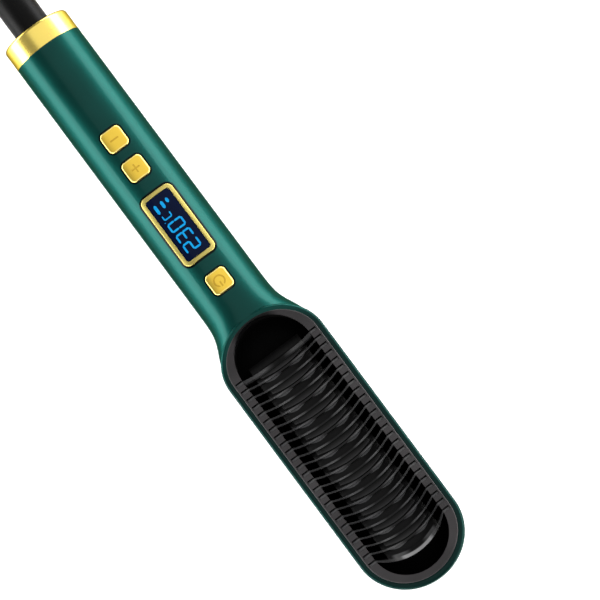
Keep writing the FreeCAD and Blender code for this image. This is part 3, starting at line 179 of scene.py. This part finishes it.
def ramp(tree, value, low, high, start=0.35, end=0.65):
    """Maps a 0 to 1 value to a grey range, or to two colours."""
    node = tree.nodes.new("ShaderNodeValToRGB")
    for element, spot, colour in zip(node.color_ramp.elements, (start, end), (low, high)):
        element.position = spot
        element.color = (*(colour if isinstance(colour, tuple) else grey(colour)), 1)
    tree.links.new(value, node.inputs["Fac"])
    return node.outputs["Color"]


def bump(tree, shader, value, distance, strength=0.25):
    node = tree.nodes.new("ShaderNodeBump")
    node.inputs["Strength"].default_value = strength
    node.inputs["Distance"].default_value = distance
    tree.links.new(value, node.inputs["Height"])
    tree.links.new(node.outputs["Normal"], shader.inputs["Normal"])


def surface(name, colour, roughness, metallic=0.0, vary=0.08, rough_vary=0.04, grain=900, grain_depth=0.00001,
            stretch=(1, 1, 1), patch=40, specular=None, tint=None):
    """A finish with slow colour and roughness changes and a fine grain."""
    material, tree, shader = new_material(name)
    shader.inputs["Metallic"].default_value = metallic
    if specular is not None:
        shader.inputs["Specular IOR Level"].default_value = specular
    if tint is not None:
        shader.inputs["Specular Tint"].default_value = (*tint, 1)
    slow = noise(tree, patch, 3.0, stretch)
    dark = tuple(c * (1 - vary) for c in colour)
    light = tuple(min(1.0, c * (1 + vary)) for c in colour)
    tree.links.new(ramp(tree, slow, dark, light), shader.inputs["Base Color"])
    sheen = ramp(tree, slow, roughness - rough_vary, roughness + rough_vary)
    tree.links.new(sheen, shader.inputs["Roughness"])
    if grain:
        bump(tree, shader, noise(tree, grain, 2.0, stretch), grain_depth)
    return material


def dress(material, *names):
    for name in names:
        mesh = nodes[name].data
        mesh.materials.clear()
        mesh.materials.append(material)


def combine(tree, operation, first, second=None):
    """A math node on two values."""
    node = tree.nodes.new("ShaderNodeMath")
    node.operation = operation
    for socket, value in zip(node.inputs, (first, second)):
        if isinstance(value, (int, float)):
            socket.default_value = value
        elif value is not None:
            tree.links.new(value, socket)
    return node.outputs["Value"]


def inverse(tree, value):
    return combine(tree, "SUBTRACT", 1.0, value)


def product(tree, first, second):
    return combine(tree, "MULTIPLY", first, second)


def root_of_squares(tree, first, second):
    """The distance that two sides of a right angle span."""
    squares = combine(tree, "ADD", product(tree, first, first), product(tree, second, second))
    return combine(tree, "SQRT", squares)


def step_between(tree, value, low, high):
    """0 below low and 1 above high, with a smooth change between them. Both are in millimetres."""
    node = tree.nodes.new("ShaderNodeMapRange")
    node.interpolation_type = "SMOOTHSTEP"
    node.inputs["From Min"].default_value = low * MM
    node.inputs["From Max"].default_value = high * MM
    tree.links.new(value, node.inputs["Value"])
    return node.outputs["Result"]


def station_step(tree, x, low, high):
    """The same between two stations."""
    return step_between(tree, x, station(low), station(high))


def band(tree, value, low, low_end, high, high_end):
    """1 between low_end and high, 0 before low and after high_end, with smooth changes."""
    fall = inverse(tree, step_between(tree, value, high, high_end))
    return product(tree, step_between(tree, value, low, low_end), fall)


def curve_of(tree, value, spots, reach=None):
    """A value that follows spots, which are pairs of a distance and a level, over distances up to reach."""
    reach = reach or spots[-1][0]
    node = tree.nodes.new("ShaderNodeValToRGB")
    elements = node.color_ramp.elements
    while len(elements) < len(spots):
        elements.new(0.5)
    for element, (distance, level) in zip(elements, spots):
        element.position = distance / reach
        element.color = (*grey(level), 1)
    tree.links.new(combine(tree, "DIVIDE", value, reach * MM), node.inputs["Fac"])
    return node.outputs["Color"]


def mixed(tree, factor, first, second, blend="MIX"):
    """Two colours mixed by a factor, or multiplied."""
    node = tree.nodes.new("ShaderNodeMix")
    node.data_type = "RGBA"
    node.blend_type = blend
    for name, value in (("Factor", factor), ("A", first), ("B", second)):
        socket = node.inputs[name]
        if isinstance(value, tuple):
            socket.default_value = (*value, 1)
        elif isinstance(value, float):
            socket.default_value = value
        else:
            tree.links.new(value, socket)
    return node.outputs["Result"]


def shaded(tree, colour, shade, keep):
    """A colour that keeps only a share of itself where the shade is 1."""
    return mixed(tree, shade, colour, grey(keep), "MULTIPLY")


def coordinates(tree):
    """The station direction, the distance from the middle plane and the height, in metres."""
    spot = tree.nodes.new("ShaderNodeTexCoord")
    split = tree.nodes.new("ShaderNodeSeparateXYZ")
    tree.links.new(spot.outputs["Object"], split.inputs["Vector"])
    return split.outputs["X"], combine(tree, "ABSOLUTE", split.outputs["Y"]), split.outputs["Z"]


def outline_distance(tree, x, y, outlines):
    """How far a point of the handle lies outside the nearest of some rounded rectangles, or less than 0 inside.
    An outline is the station of its middle, its length, its width and the radius of its corners."""
    nearest = None
    for middle, length, width, corner in outlines:
        ends = combine(tree, "ABSOLUTE", combine(tree, "SUBTRACT", x, station(middle) * MM))
        ends = combine(tree, "MAXIMUM", combine(tree, "SUBTRACT", ends, (length / 2 - corner) * MM), 0.0)
        sides = combine(tree, "MAXIMUM", combine(tree, "SUBTRACT", y, (width / 2 - corner) * MM), 0.0)
        away = combine(tree, "SUBTRACT", root_of_squares(tree, ends, sides), corner * MM)
        nearest = away if nearest is None else combine(tree, "MINIMUM", nearest, away)
    return nearest


# Green shells

KEY_OUTLINES = [(x, 9.7, 9.7, 2.1) for x in (59.9, 75.1, 134.1)]
BEZEL_OUTLINE = (104.7, 34.5, 15.7, 2.8)
# Painted shade in the joints round them: how far each is darkest, where it ends, and the share of the colour
# that it keeps
PAINTED_JOINT_SHADES = [(KEY_OUTLINES, 0.55, 1.0, 0.12), ([BEZEL_OUTLINE], 0.6, 1.2, 0.05)]
FACE_Z = (AXIS_Z, AXIS_Z + 2)     # the joints lie on the upper half only
RIM_X = (157, 172)                # stations over which the head's rim starts
RIM_Z = (29.0, 29.8)
# The share of the colour that the painted shade along the head's rim keeps
RIM_SHADE_KEEP = 0.38


def shell_material():
    """Green metallic, with painted shade in the joints round the keys and the display, and along the head's
    rim.
    """
    material = surface("green_metallic", (0.0028, 0.0435, 0.0365), 0.41, 1.0, 0.06, 0.015, 4000, 0.000003,
                       tint=(0.1, 0.4, 0.34))
    tree, shader, colour = parts_of(material)
    shader.inputs["Coat Weight"].default_value = 0.026
    shader.inputs["Coat Roughness"].default_value = 0.2
    shader.inputs["Coat IOR"].default_value = 3.0
    x, y, z = coordinates(tree)
    on_face = step_between(tree, z, *FACE_Z)
    # Painted shade in the joints round the keys and the display, on the upper half
    for outlines, reach, fade, keep in PAINTED_JOINT_SHADES:
        beside = step_between(tree, outline_distance(tree, x, y, outlines), reach, fade)
        colour = shaded(tree, colour, product(tree, inverse(tree, beside), on_face), keep)
    # Painted shade along the top of the head's rim
    rim_shade = product(tree, station_step(tree, x, *RIM_X), step_between(tree, z, *RIM_Z))
    tree.links.new(shaded(tree, colour, rim_shade, RIM_SHADE_KEEP), shader.inputs["Base Color"])
    return material


# Guard: zones of painted shade, as the stations and the distances from the middle plane over which they fade

ARC_X, ARC_KEEP = (166, 176), 0.75
NEAR_X, NEAR_Y, NEAR_KEEP = (158, 165), (7, 12.5), 0.04
TIP_X, TIP_Y, TIP_KEEP = (272, 282), (7, 15), 0.75


def guard_material():
    """Matt black, with painted shade near the handle, where its rim is narrow, and at the tip."""
    material = surface("guard_black", (0.034, 0.032, 0.033), 0.62, 0.0, 0.15, 0.05, 1800, 0.00002,
                       specular=0.12)
    tree, shader, colour = parts_of(material)
    x, y, z = coordinates(tree)
    arc = inverse(tree, station_step(tree, x, *ARC_X))
    near = product(tree, inverse(tree, station_step(tree, x, *NEAR_X)),
                   inverse(tree, step_between(tree, y, *NEAR_Y)))
    tip = product(tree, station_step(tree, x, *TIP_X), inverse(tree, step_between(tree, y, *TIP_Y)))
    # Painted shade in each zone
    for shade, keep in ((arc, ARC_KEEP), (near, NEAR_KEEP), (tip, TIP_KEEP)):
        colour = shaded(tree, colour, shade, keep)
    tree.links.new(colour, shader.inputs["Base Color"])
    return material


# Comb

FIN_PITCH = 3.858
FIRST_FIN_X = 174.4
FIRST_FIN_SIDE = (175.3, 175.7)   # stations over which the first fin's top turns into its side, which has painted shade
FIRST_FIN_END = (176.9, 177.1)    # between the first fin and the second
# The share of the colour that the painted shade on the first fin's side keeps
FIRST_SIDE_SHADE_KEEP = 0.3
LAST_WALL_X = 267.4
LAST_WALL_BOW = 6.4
HEAD_HALF = 24                    # past the widest of the comb
KNEE_Y = 17.1                     # where the fins turn straight, beside the dish
FIN_TOP = 33.7                    # height of the fins at their ends
DISH_EDGE, DISH_EDGE_Z = 12.7, 27.0
DISH_MIDDLE_Z = 23.3
DISH_SPOTS = (0, 3, 5.5, 8, 10.5)
TOP_DEPTH = (0.15, 0.45)          # how far below the tops the painted highlight fades
# How far the fins bow towards the tip, by the distance from the first of them
FIN_BOWS = [(0, 0.2), (4, 0.6), (12, 1.06), (25, 1.64), (45, 2.37), (70, 3.15), (93, 3.8)]
BOW_UNIT = 4.0
# Painted light and shade between the fins: how light the comb is, by the place between one even fin and the
# next, with a land first
BETWEEN_LIGHT_AND_SHADE_LEVELS = [(0, 0.001), (0.08, 0.004), (0.2, 0.016), (0.36, 0.046), (0.39, 0.03), (0.425, 0.0005),
                  (0.5, 0.002), (0.62, 0.012), (0.8, 0.011), (0.89, 0.010), (0.93, 0.0005), (1, 0.001)]
# How far the painted highlight at the foot of every other fin reaches, in that measure, by the distance from
# the middle plane
FOOT_HIGHLIGHT_REACHES = [(0, 0.0), (2, 0.025), (4.5, 0.11), (6.3, 0.145), (8.3, 0.11), (10, 0.04), (11, 0.0)]
FOOT_START, FOOT_END = (0.49, 0.5), (0.49, 0.53)
FOOT_HIGHLIGHT_COLOUR = (0.2, 0.2, 0.203)
# The slope before the first fin, with a painted highlight that grows towards the fin, and the floor past the
# end wall, as distances from the first fin
SLOPE_X, SLOPE_END = (-4.8, -0.9), (-1.3, -0.9)
SLOPE_HIGHLIGHT_LEVELS = (0.012, 0.043)
PAST_X = (LAST_WALL_X - FIRST_FIN_X, LAST_WALL_X - FIRST_FIN_X + 0.4)
PAST_LEVEL = 0.0004
# Painted highlights on the ledge before the end wall and on the wall's lip, as distances from the wall and from
# the middle plane
LEDGE_X, LEDGE_Y, LEDGE_HIGHLIGHT_LEVEL = (-3.3, -2.6, 1, 2), (2.5, 6.5, 9.5, 11.5), 0.11
LIP_X, LIP_Y, LIP_HIGHLIGHT_LEVEL = (-1.6, -1.1), (6.2, 8.6), 0.43
# The painted highlight on the tops of the fins, as a level by the distance from the middle plane, and the same
# for the first fin
FIN_TOP_HIGHLIGHT_LEVELS = [(0, 0.018), (3, 0.023), (5.2, 0.092), (8, 0.118), (9.5, 0.105), (11.5, 0.033), (16.8, 0.021),
              (17.8, 0.082), (HEAD_HALF, 0.082)]
FIRST_FIN_HIGHLIGHT_LEVELS = [(0, 0.001), (2.5, 0.007), (4.5, 0.045), (7, 0.1), (9, 0.09), (12, 0.05), (17, 0.025),
                (17.8, 0.082), (HEAD_HALF, 0.082)]


def fin_distance(tree, x, y):
    """How far a point lies behind the first fin with the bow taken out, and the share of a bow at its y."""
    share = combine(tree, "DIVIDE", y, KNEE_Y * MM)
    bowed = combine(tree, "MAXIMUM", inverse(tree, product(tree, share, share)), 0.0)
    from_first = combine(tree, "SUBTRACT", x, station(FIRST_FIN_X) * MM)
    bow = product(tree, curve_of(tree, from_first, [(d, b / BOW_UNIT) for d, b in FIN_BOWS]), bowed)
    return combine(tree, "SUBTRACT", from_first, product(tree, bow, BOW_UNIT * MM)), bowed


def colour_between_fins(tree, straight, y):
    """The lands, with painted shade beside the fins and painted light towards the next fin, the painted
    highlight at the feet of every other fin, the painted highlight on the slope before the first fin, and the
    floor past the end wall.
    """
    turn_share = combine(tree, "FRACT", combine(tree, "DIVIDE", straight, 2 * FIN_PITCH * MM))
    phase = product(tree, turn_share, MM)
    # Painted light and shade between the fins
    colour = curve_of(tree, phase, BETWEEN_LIGHT_AND_SHADE_LEVELS)
    beyond = combine(tree, "SUBTRACT", phase, product(tree, curve_of(tree, y, FOOT_HIGHLIGHT_REACHES), MM))
    # The painted highlight at the foot of every other fin
    foot = product(tree, inverse(tree, step_between(tree, beyond, *FOOT_END)),
                   step_between(tree, phase, *FOOT_START))
    colour = mixed(tree, foot, colour, FOOT_HIGHLIGHT_COLOUR)
    # The painted highlight on the slope before the first fin
    slope = mixed(tree, step_between(tree, straight, *SLOPE_X), *map(grey, SLOPE_HIGHLIGHT_LEVELS))
    colour = mixed(tree, inverse(tree, step_between(tree, straight, *SLOPE_END)), colour, slope)
    return mixed(tree, step_between(tree, straight, *PAST_X), colour, grey(PAST_LEVEL))


def on_top(tree, y, z):
    """1 on the tops of the fins and of the end wall, and 0 lower down. The tops follow the dish's arc."""
    fall = DISH_EDGE_Z - DISH_MIDDLE_Z
    bend = (DISH_EDGE ** 2 + fall ** 2) / (2 * fall)
    tops = [(d, (DISH_MIDDLE_Z + bend - math.sqrt(bend ** 2 - d ** 2)) * MM) for d in DISH_SPOTS]
    tops += [(DISH_EDGE, DISH_EDGE_Z * MM), (KNEE_Y, FIN_TOP * MM), (HEAD_HALF, FIN_TOP * MM)]
    below = combine(tree, "SUBTRACT", curve_of(tree, y, tops), z)
    return inverse(tree, step_between(tree, below, *TOP_DEPTH))


def comb_material():
    """A dark ceramic coating, with a painted highlight along the tops of the fins and of the end wall, and
    painted light and shade lower down.
    """
    material = surface("comb_coating", (0.9, 0.9, 0.93), 0.34, 0.0, 0.25, 0.06, 1500, 0.00001, specular=0.09)
    tree, shader, grain = parts_of(material)
    x, y, z = coordinates(tree)
    straight, bowed = fin_distance(tree, x, y)
    from_wall = combine(tree, "SUBTRACT", combine(tree, "SUBTRACT", x, station(LAST_WALL_X) * MM),
                        product(tree, bowed, LAST_WALL_BOW * MM))
    # The painted highlight on the ledge before the end wall
    ledge = product(tree, band(tree, from_wall, *LEDGE_X), band(tree, y, *LEDGE_Y))
    lower = mixed(tree, ledge, colour_between_fins(tree, straight, y), grey(LEDGE_HIGHLIGHT_LEVEL))
    first_side_shade = station_step(tree, x, *FIRST_FIN_SIDE)
    # Painted shade on the first fin's side
    first = shaded(tree, curve_of(tree, y, FIRST_FIN_HIGHLIGHT_LEVELS), first_side_shade, FIRST_SIDE_SHADE_KEEP)
    # The tops of the first fin and of the others, with their painted highlight
    tops = mixed(tree, station_step(tree, x, *FIRST_FIN_END), first, curve_of(tree, y, FIN_TOP_HIGHLIGHT_LEVELS))
    # The painted highlight on the end wall's lip
    lip = product(tree, step_between(tree, from_wall, *LIP_X), inverse(tree, step_between(tree, y, *LIP_Y)))
    tops = mixed(tree, lip, tops, grey(LIP_HIGHLIGHT_LEVEL))
    # The painted highlight on the tops, over the painted light and shade lower down
    colour = mixed(tree, on_top(tree, y, z), lower, tops)
    tree.links.new(mixed(tree, 1.0, grain, colour, "MULTIPLY"), shader.inputs["Base Color"])
    return material


# Keys

KEY_FACE = 16.35                  # radius of their faces, from the handle's axis
KEY_EDGE = (-0.8, -0.4)           # distances from the outline over which the painted highlight along the edge starts
KEY_EDGE_HIGHLIGHT_COLOUR = (0.92, 0.73, 0.22)
MARK_INSIDE = (-1.4, -1.2)        # marks lie further inside the outline than this
MARK_RADIUS = (KEY_FACE - 0.25, KEY_FACE - 0.1)
MARK_SHADE_COLOUR = (0.6, 0.38, 0.045)


def key_material():
    """Brushed gold, with a painted highlight along the edges and painted shade on the floors of the engraved
    marks, which lie deeper.
    """
    material = surface("gold_keys", (0.82, 0.56, 0.07), 0.36, 1.0, 0.09, 0.05, 900, 0.00001,
                       stretch=(0.2, 2, 1))
    tree, shader, colour = parts_of(material)
    x, y, z = coordinates(tree)
    outside = outline_distance(tree, x, y, KEY_OUTLINES)
    # Painted highlight along the edges
    colour = mixed(tree, step_between(tree, outside, *KEY_EDGE), colour, KEY_EDGE_HIGHLIGHT_COLOUR)
    radius = root_of_squares(tree, y, combine(tree, "SUBTRACT", z, AXIS_Z * MM))
    # Painted shade on the floors of the engraved marks
    mark = product(tree, inverse(tree, step_between(tree, radius, *MARK_RADIUS)),
                   inverse(tree, step_between(tree, outside, *MARK_INSIDE)))
    tree.links.new(mixed(tree, mark, colour, MARK_SHADE_COLOUR), shader.inputs["Base Color"])
    return material


# Every piece's finish. The numbers are roughness, metallic, the change of colour and of roughness, and the
# scale and depth of the grain

dress(shell_material(), "front_shell", "rear_shell")
dress(guard_material(), "guard_ring")
dress(comb_material(), "heating_comb")
dress(key_material(), "minus_button", "plus_button", "power_button")
dress(surface("gold_plate", (0.86, 0.66, 0.15), 0.27, 1.0, 0.03, 0.02, 0, tint=(0.0, 0.0, 0.1)), "end_ring")
dress(surface("gold_satin", (0.46, 0.38, 0.108), 0.36, 1.0, 0.04, 0.03, 1500, 0.000004), "display_bezel")
dress(surface("barrel_black", grey(0.0018), 0.42, 0.0, 0.1, 0.04, 1500, 0.00001, specular=0.075),
      "swivel_barrel")
dress(surface("tray_black", grey(0.0012), 0.7, 0.0, 0.15, 0.05, 1200, 0.00002, specular=0.08), "inner_tray")
dress(surface("lens_dark", (0.001, 0.0035, 0.018), 0.16, 0.0, 0.1, 0.02, 0, specular=0.06), "display_window")
dress(surface("black_satin", grey(0.006), 0.5, 0.0, 0.1, 0.04, 1500, 0.00001, specular=0.12), "cord_ties")
dress(surface("steel", (0.55, 0.55, 0.56), 0.3, 1.0, 0.06, 0.05, 1200, 0.00001),
      "swivel_clip", "heater_clamp", "clamp_screws", "thermal_fuse", "control_board_screws",
      "power_board_screws", "handle_screws", "head_screws")
dress(surface("brass", (0.75, 0.5, 0.22), 0.32, 1.0, 0.08, 0.05, 1200, 0.00001),
      "slip_rings", "contact_springs", "plug_blades")
dress(surface("board_green", (0.02, 0.13, 0.05), 0.4, 0.0, 0.15, 0.05, 1500, 0.00002),
      "control_board", "power_board")
dress(surface("chip_black", grey(0.02), 0.55, 0.0, 0.1, 0.05, 2500, 0.00002),
      "control_chip", "triac", "contact_block", "display_module")
dress(surface("switch_black", grey(0.03), 0.5, 0.0, 0.1, 0.05, 1500, 0.00001), "key_switches")
dress(surface("film_yellow", (0.5, 0.33, 0.05), 0.45, 0.0, 0.1, 0.05, 1200, 0.00002), "film_capacitor")
dress(surface("can_blue", (0.03, 0.05, 0.14), 0.35, 0.0, 0.1, 0.04, 1200, 0.00001), "electrolytic_capacitor")
dress(surface("pale_plastic", (0.62, 0.6, 0.54), 0.5, 0.0, 0.05, 0.05, 1200, 0.00002),
      "swivel_socket", "board_link")
dress(surface("mica_tan", (0.45, 0.36, 0.2), 0.45, 0.0, 0.25, 0.1, 800, 0.00002, patch=300), "mica_sheet")
dress(surface("heater_alloy", (0.6, 0.6, 0.61), 0.38, 1.0, 0.06, 0.06, 900, 0.00002, stretch=(0.1, 2, 2)),
      "ptc_heater")
dress(surface("lead_red", (0.36, 0.02, 0.015), 0.45, 0.0, 0.08, 0.04, 1500, 0.00001),
      "mains_leads", "heater_leads")
dress(surface("lead_white", (0.55, 0.53, 0.47), 0.5, 0.0, 0.06, 0.04, 1500, 0.00001), "sensor_leads")
dress(surface("fuse_clear", (0.75, 0.8, 0.8), 0.08, 0.0, 0.03, 0.02, 0), "mains_fuse", "temperature_sensor")
rubber = surface("black_rubber", grey(0.014), 0.5, 0.0, 0.12, 0.06, 1600, 0.00003)
dress(rubber, "strain_relief", "plug_relief", "plug_body")
flex.materials.append(rubber)


# Display: lit segments that lie in the face of the lens

LENS_RADIUS = 15.9
LIFT = 0.03               # of the segments above the lens
LIGHT_COLOURS = (0.0, 0.36, 0.9), (0.01, 0.5, 1.0)
LIGHT_STRENGTH = 0.78
TAPER = 0.35              # width of a bar's ends, as a share of its own
SEGMENT_GAP = 0.06        # from the corner of a digit to its bars
# Segments a to g of a digit, as ends on a grid of 1 across and 2 up
SEGMENTS = {"a": ((0, 2), (1, 2)), "b": ((1, 2), (1, 1)), "c": ((1, 1), (1, 0)), "d": ((0, 0), (1, 0)),
            "e": ((0, 1), (0, 0)), "f": ((0, 2), (0, 1)), "g": ((0, 1), (1, 1))}
SHAPES = {"2": "abged", "3": "abgcd", "0": "abcdef", "c": "ged"}
# Each digit, the stations where it starts and ends, the y of its foot and head, and the width of its bars
DIGITS = [("2", 117.0, 113.2, 3.0, -3.6, 0.85), ("3", 111.8, 108.4, 3.0, -3.6, 0.85),
          ("0", 106.2, 102.5, 3.0, -3.6, 0.85), ("c", 100.1, 98.0, 0.4, -7.0, 0.6)]
# The degree dot and the three bars, as their ends and width
BARS = [((100.9, -3.9), (101.3, -3.9), 0.5), ((92.5, 2.6), (94.75, 2.6), 1.35),
        ((92.5, 0.0), (95.95, 0.0), 1.35), ((92.5, -3.4), (96.8, -3.4), 1.35)]


def lit_material():
    material, tree, shader = new_material("display_light")
    shader.inputs["Base Color"].default_value = (0.0, 0.02, 0.06, 1)
    shader.inputs["Roughness"].default_value = 0.4
    shader.inputs["Specular IOR Level"].default_value = 0.1
    glow = ramp(tree, noise(tree, 900, 2.0), *LIGHT_COLOURS)
    tree.links.new(glow, shader.inputs["Emission Color"])
    shader.inputs["Emission Strength"].default_value = LIGHT_STRENGTH
    return material


def stroke(start, end, width):
    """A lit bar between two points of the display, as pairs of points across it. Its ends are tapered."""
    a, b = Vector(start), Vector(end)
    ahead = (b - a).normalized()
    side = Vector((-ahead.y, ahead.x)) * (width / 2)
    taper = width / 2 / (b - a).length
    sections = []
    for share in (0, taper, 0.3, 0.5, 0.7, 1 - taper, 1):
        half = side * (TAPER if share in (0, 1) else 1)
        middle = a.lerp(b, share)
        sections.append((middle - half, middle + half))
    return sections


def digit(kind, start_x, end_x, low_y, high_y, width):
    """A digit that reads towards the tail, with its foot at low_y and its head at high_y."""
    strokes = []
    for name in SHAPES[kind]:
        a, b = (Vector((start_x + (end_x - start_x) * u, low_y + (high_y - low_y) * v / 2))
                for u, v in SEGMENTS[name])
        gap = (b - a).normalized() * SEGMENT_GAP
        strokes.append(stroke(a + gap, b - gap, width))
    return strokes


def segments_mesh(name, strokes):
    """Bends flat strokes round the handle. x is the station and y the distance from the middle plane."""
    vertices, faces = [], []
    reach = LENS_RADIUS + LIFT
    for sections in strokes:
        first = len(vertices)
        for pair in sections:
            for spot in pair:
                angle = spot.y / LENS_RADIUS
                vertices.append(place(spot.x, reach * math.sin(angle), AXIS_Z + reach * math.cos(angle)))
        for k in range(first, len(vertices) - 2, 2):
            faces.append((k, k + 2, k + 3, k + 1))
    mesh = bpy.data.meshes.new(name)
    mesh.from_pydata(vertices, [], faces)
    mesh.update()
    piece = bpy.data.objects.new(name, mesh)
    scene.collection.objects.link(piece)
    return piece


strokes = [bar for figure in DIGITS for bar in digit(*figure)] + [stroke(*bar) for bar in BARS]
lit = segments_mesh("display_segments", strokes)
lit.data.materials.append(lit_material())
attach(lit, "brush")


# Floor and lamps

FLOOR_REACH = 3.0
FLOOR_Z = -0.0002
SEEN_LIGHT, MIRRORED_LIGHT = 0.5, 0.35    # the floor's own light, for the camera and in reflections
WORLD_LIGHT = 0.3
# Each lamp's place, the point it faces, its sides and its power: a low strip on each side and a panel above
LAMPS = {"left_panel": ((0.05, -0.2, 0.0575), (0.05, 0, 0.0575), 1.3, 0.115, 4.0),
         "right_panel": ((0.05, 0.2, 0.0575), (0.05, 0, 0.0575), 1.3, 0.115, 4.0),
         "top_panel": ((0.1, 0.3, 0.9), (0.05, 0, 0.02), 1.8, 1.7, 7.9)}


def floor_material():
    """A white floor that keeps the shadow. To the camera and in reflections it has some light of its own."""
    material, tree, shader = new_material("floor_white")
    shader.inputs["Base Color"].default_value = (0.8, 0.8, 0.8, 1)
    shader.inputs["Roughness"].default_value = 0.9
    shader.inputs["Emission Color"].default_value = (1, 1, 1, 1)
    path = tree.nodes.new("ShaderNodeLightPath")
    mirrored = combine(tree, "MAXIMUM", path.outputs["Is Glossy Ray"], path.outputs["Is Transmission Ray"])
    level = combine(tree, "ADD", product(tree, mirrored, MIRRORED_LIGHT),
                    product(tree, path.outputs["Is Camera Ray"], SEEN_LIGHT))
    tree.links.new(level, shader.inputs["Emission Strength"])
    return material


def lamp(name, location, look_at, size_x, size_y, power):
    data = bpy.data.lights.new(name, "AREA")
    data.shape = "RECTANGLE"
    data.size = size_x
    data.size_y = size_y
    data.energy = power
    light = bpy.data.objects.new(name, data)
    light.location = location
    light.rotation_euler = (Vector(look_at) - Vector(location)).to_track_quat("-Z", "Y").to_euler()
    light.visible_camera = False
    scene.collection.objects.link(light)


floor_mesh = bpy.data.meshes.new("floor")
corners = [(-1, -1), (1, -1), (1, 1), (-1, 1)]
floor_mesh.from_pydata([(x * FLOOR_REACH, y * FLOOR_REACH, 0) for x, y in corners], [], [(0, 1, 2, 3)])
floor_mesh.materials.append(floor_material())
floor = bpy.data.objects.new("floor", floor_mesh)
floor.location.z = FLOOR_Z
scene.collection.objects.link(floor)

world = bpy.data.worlds.new("studio")
world.use_nodes = True
world.node_tree.nodes["Background"].inputs["Color"].default_value = (1, 1, 1, 1)
world.node_tree.nodes["Background"].inputs["Strength"].default_value = WORLD_LIGHT
scene.world = world

for name, setting in LAMPS.items():
    lamp(name, *setting)
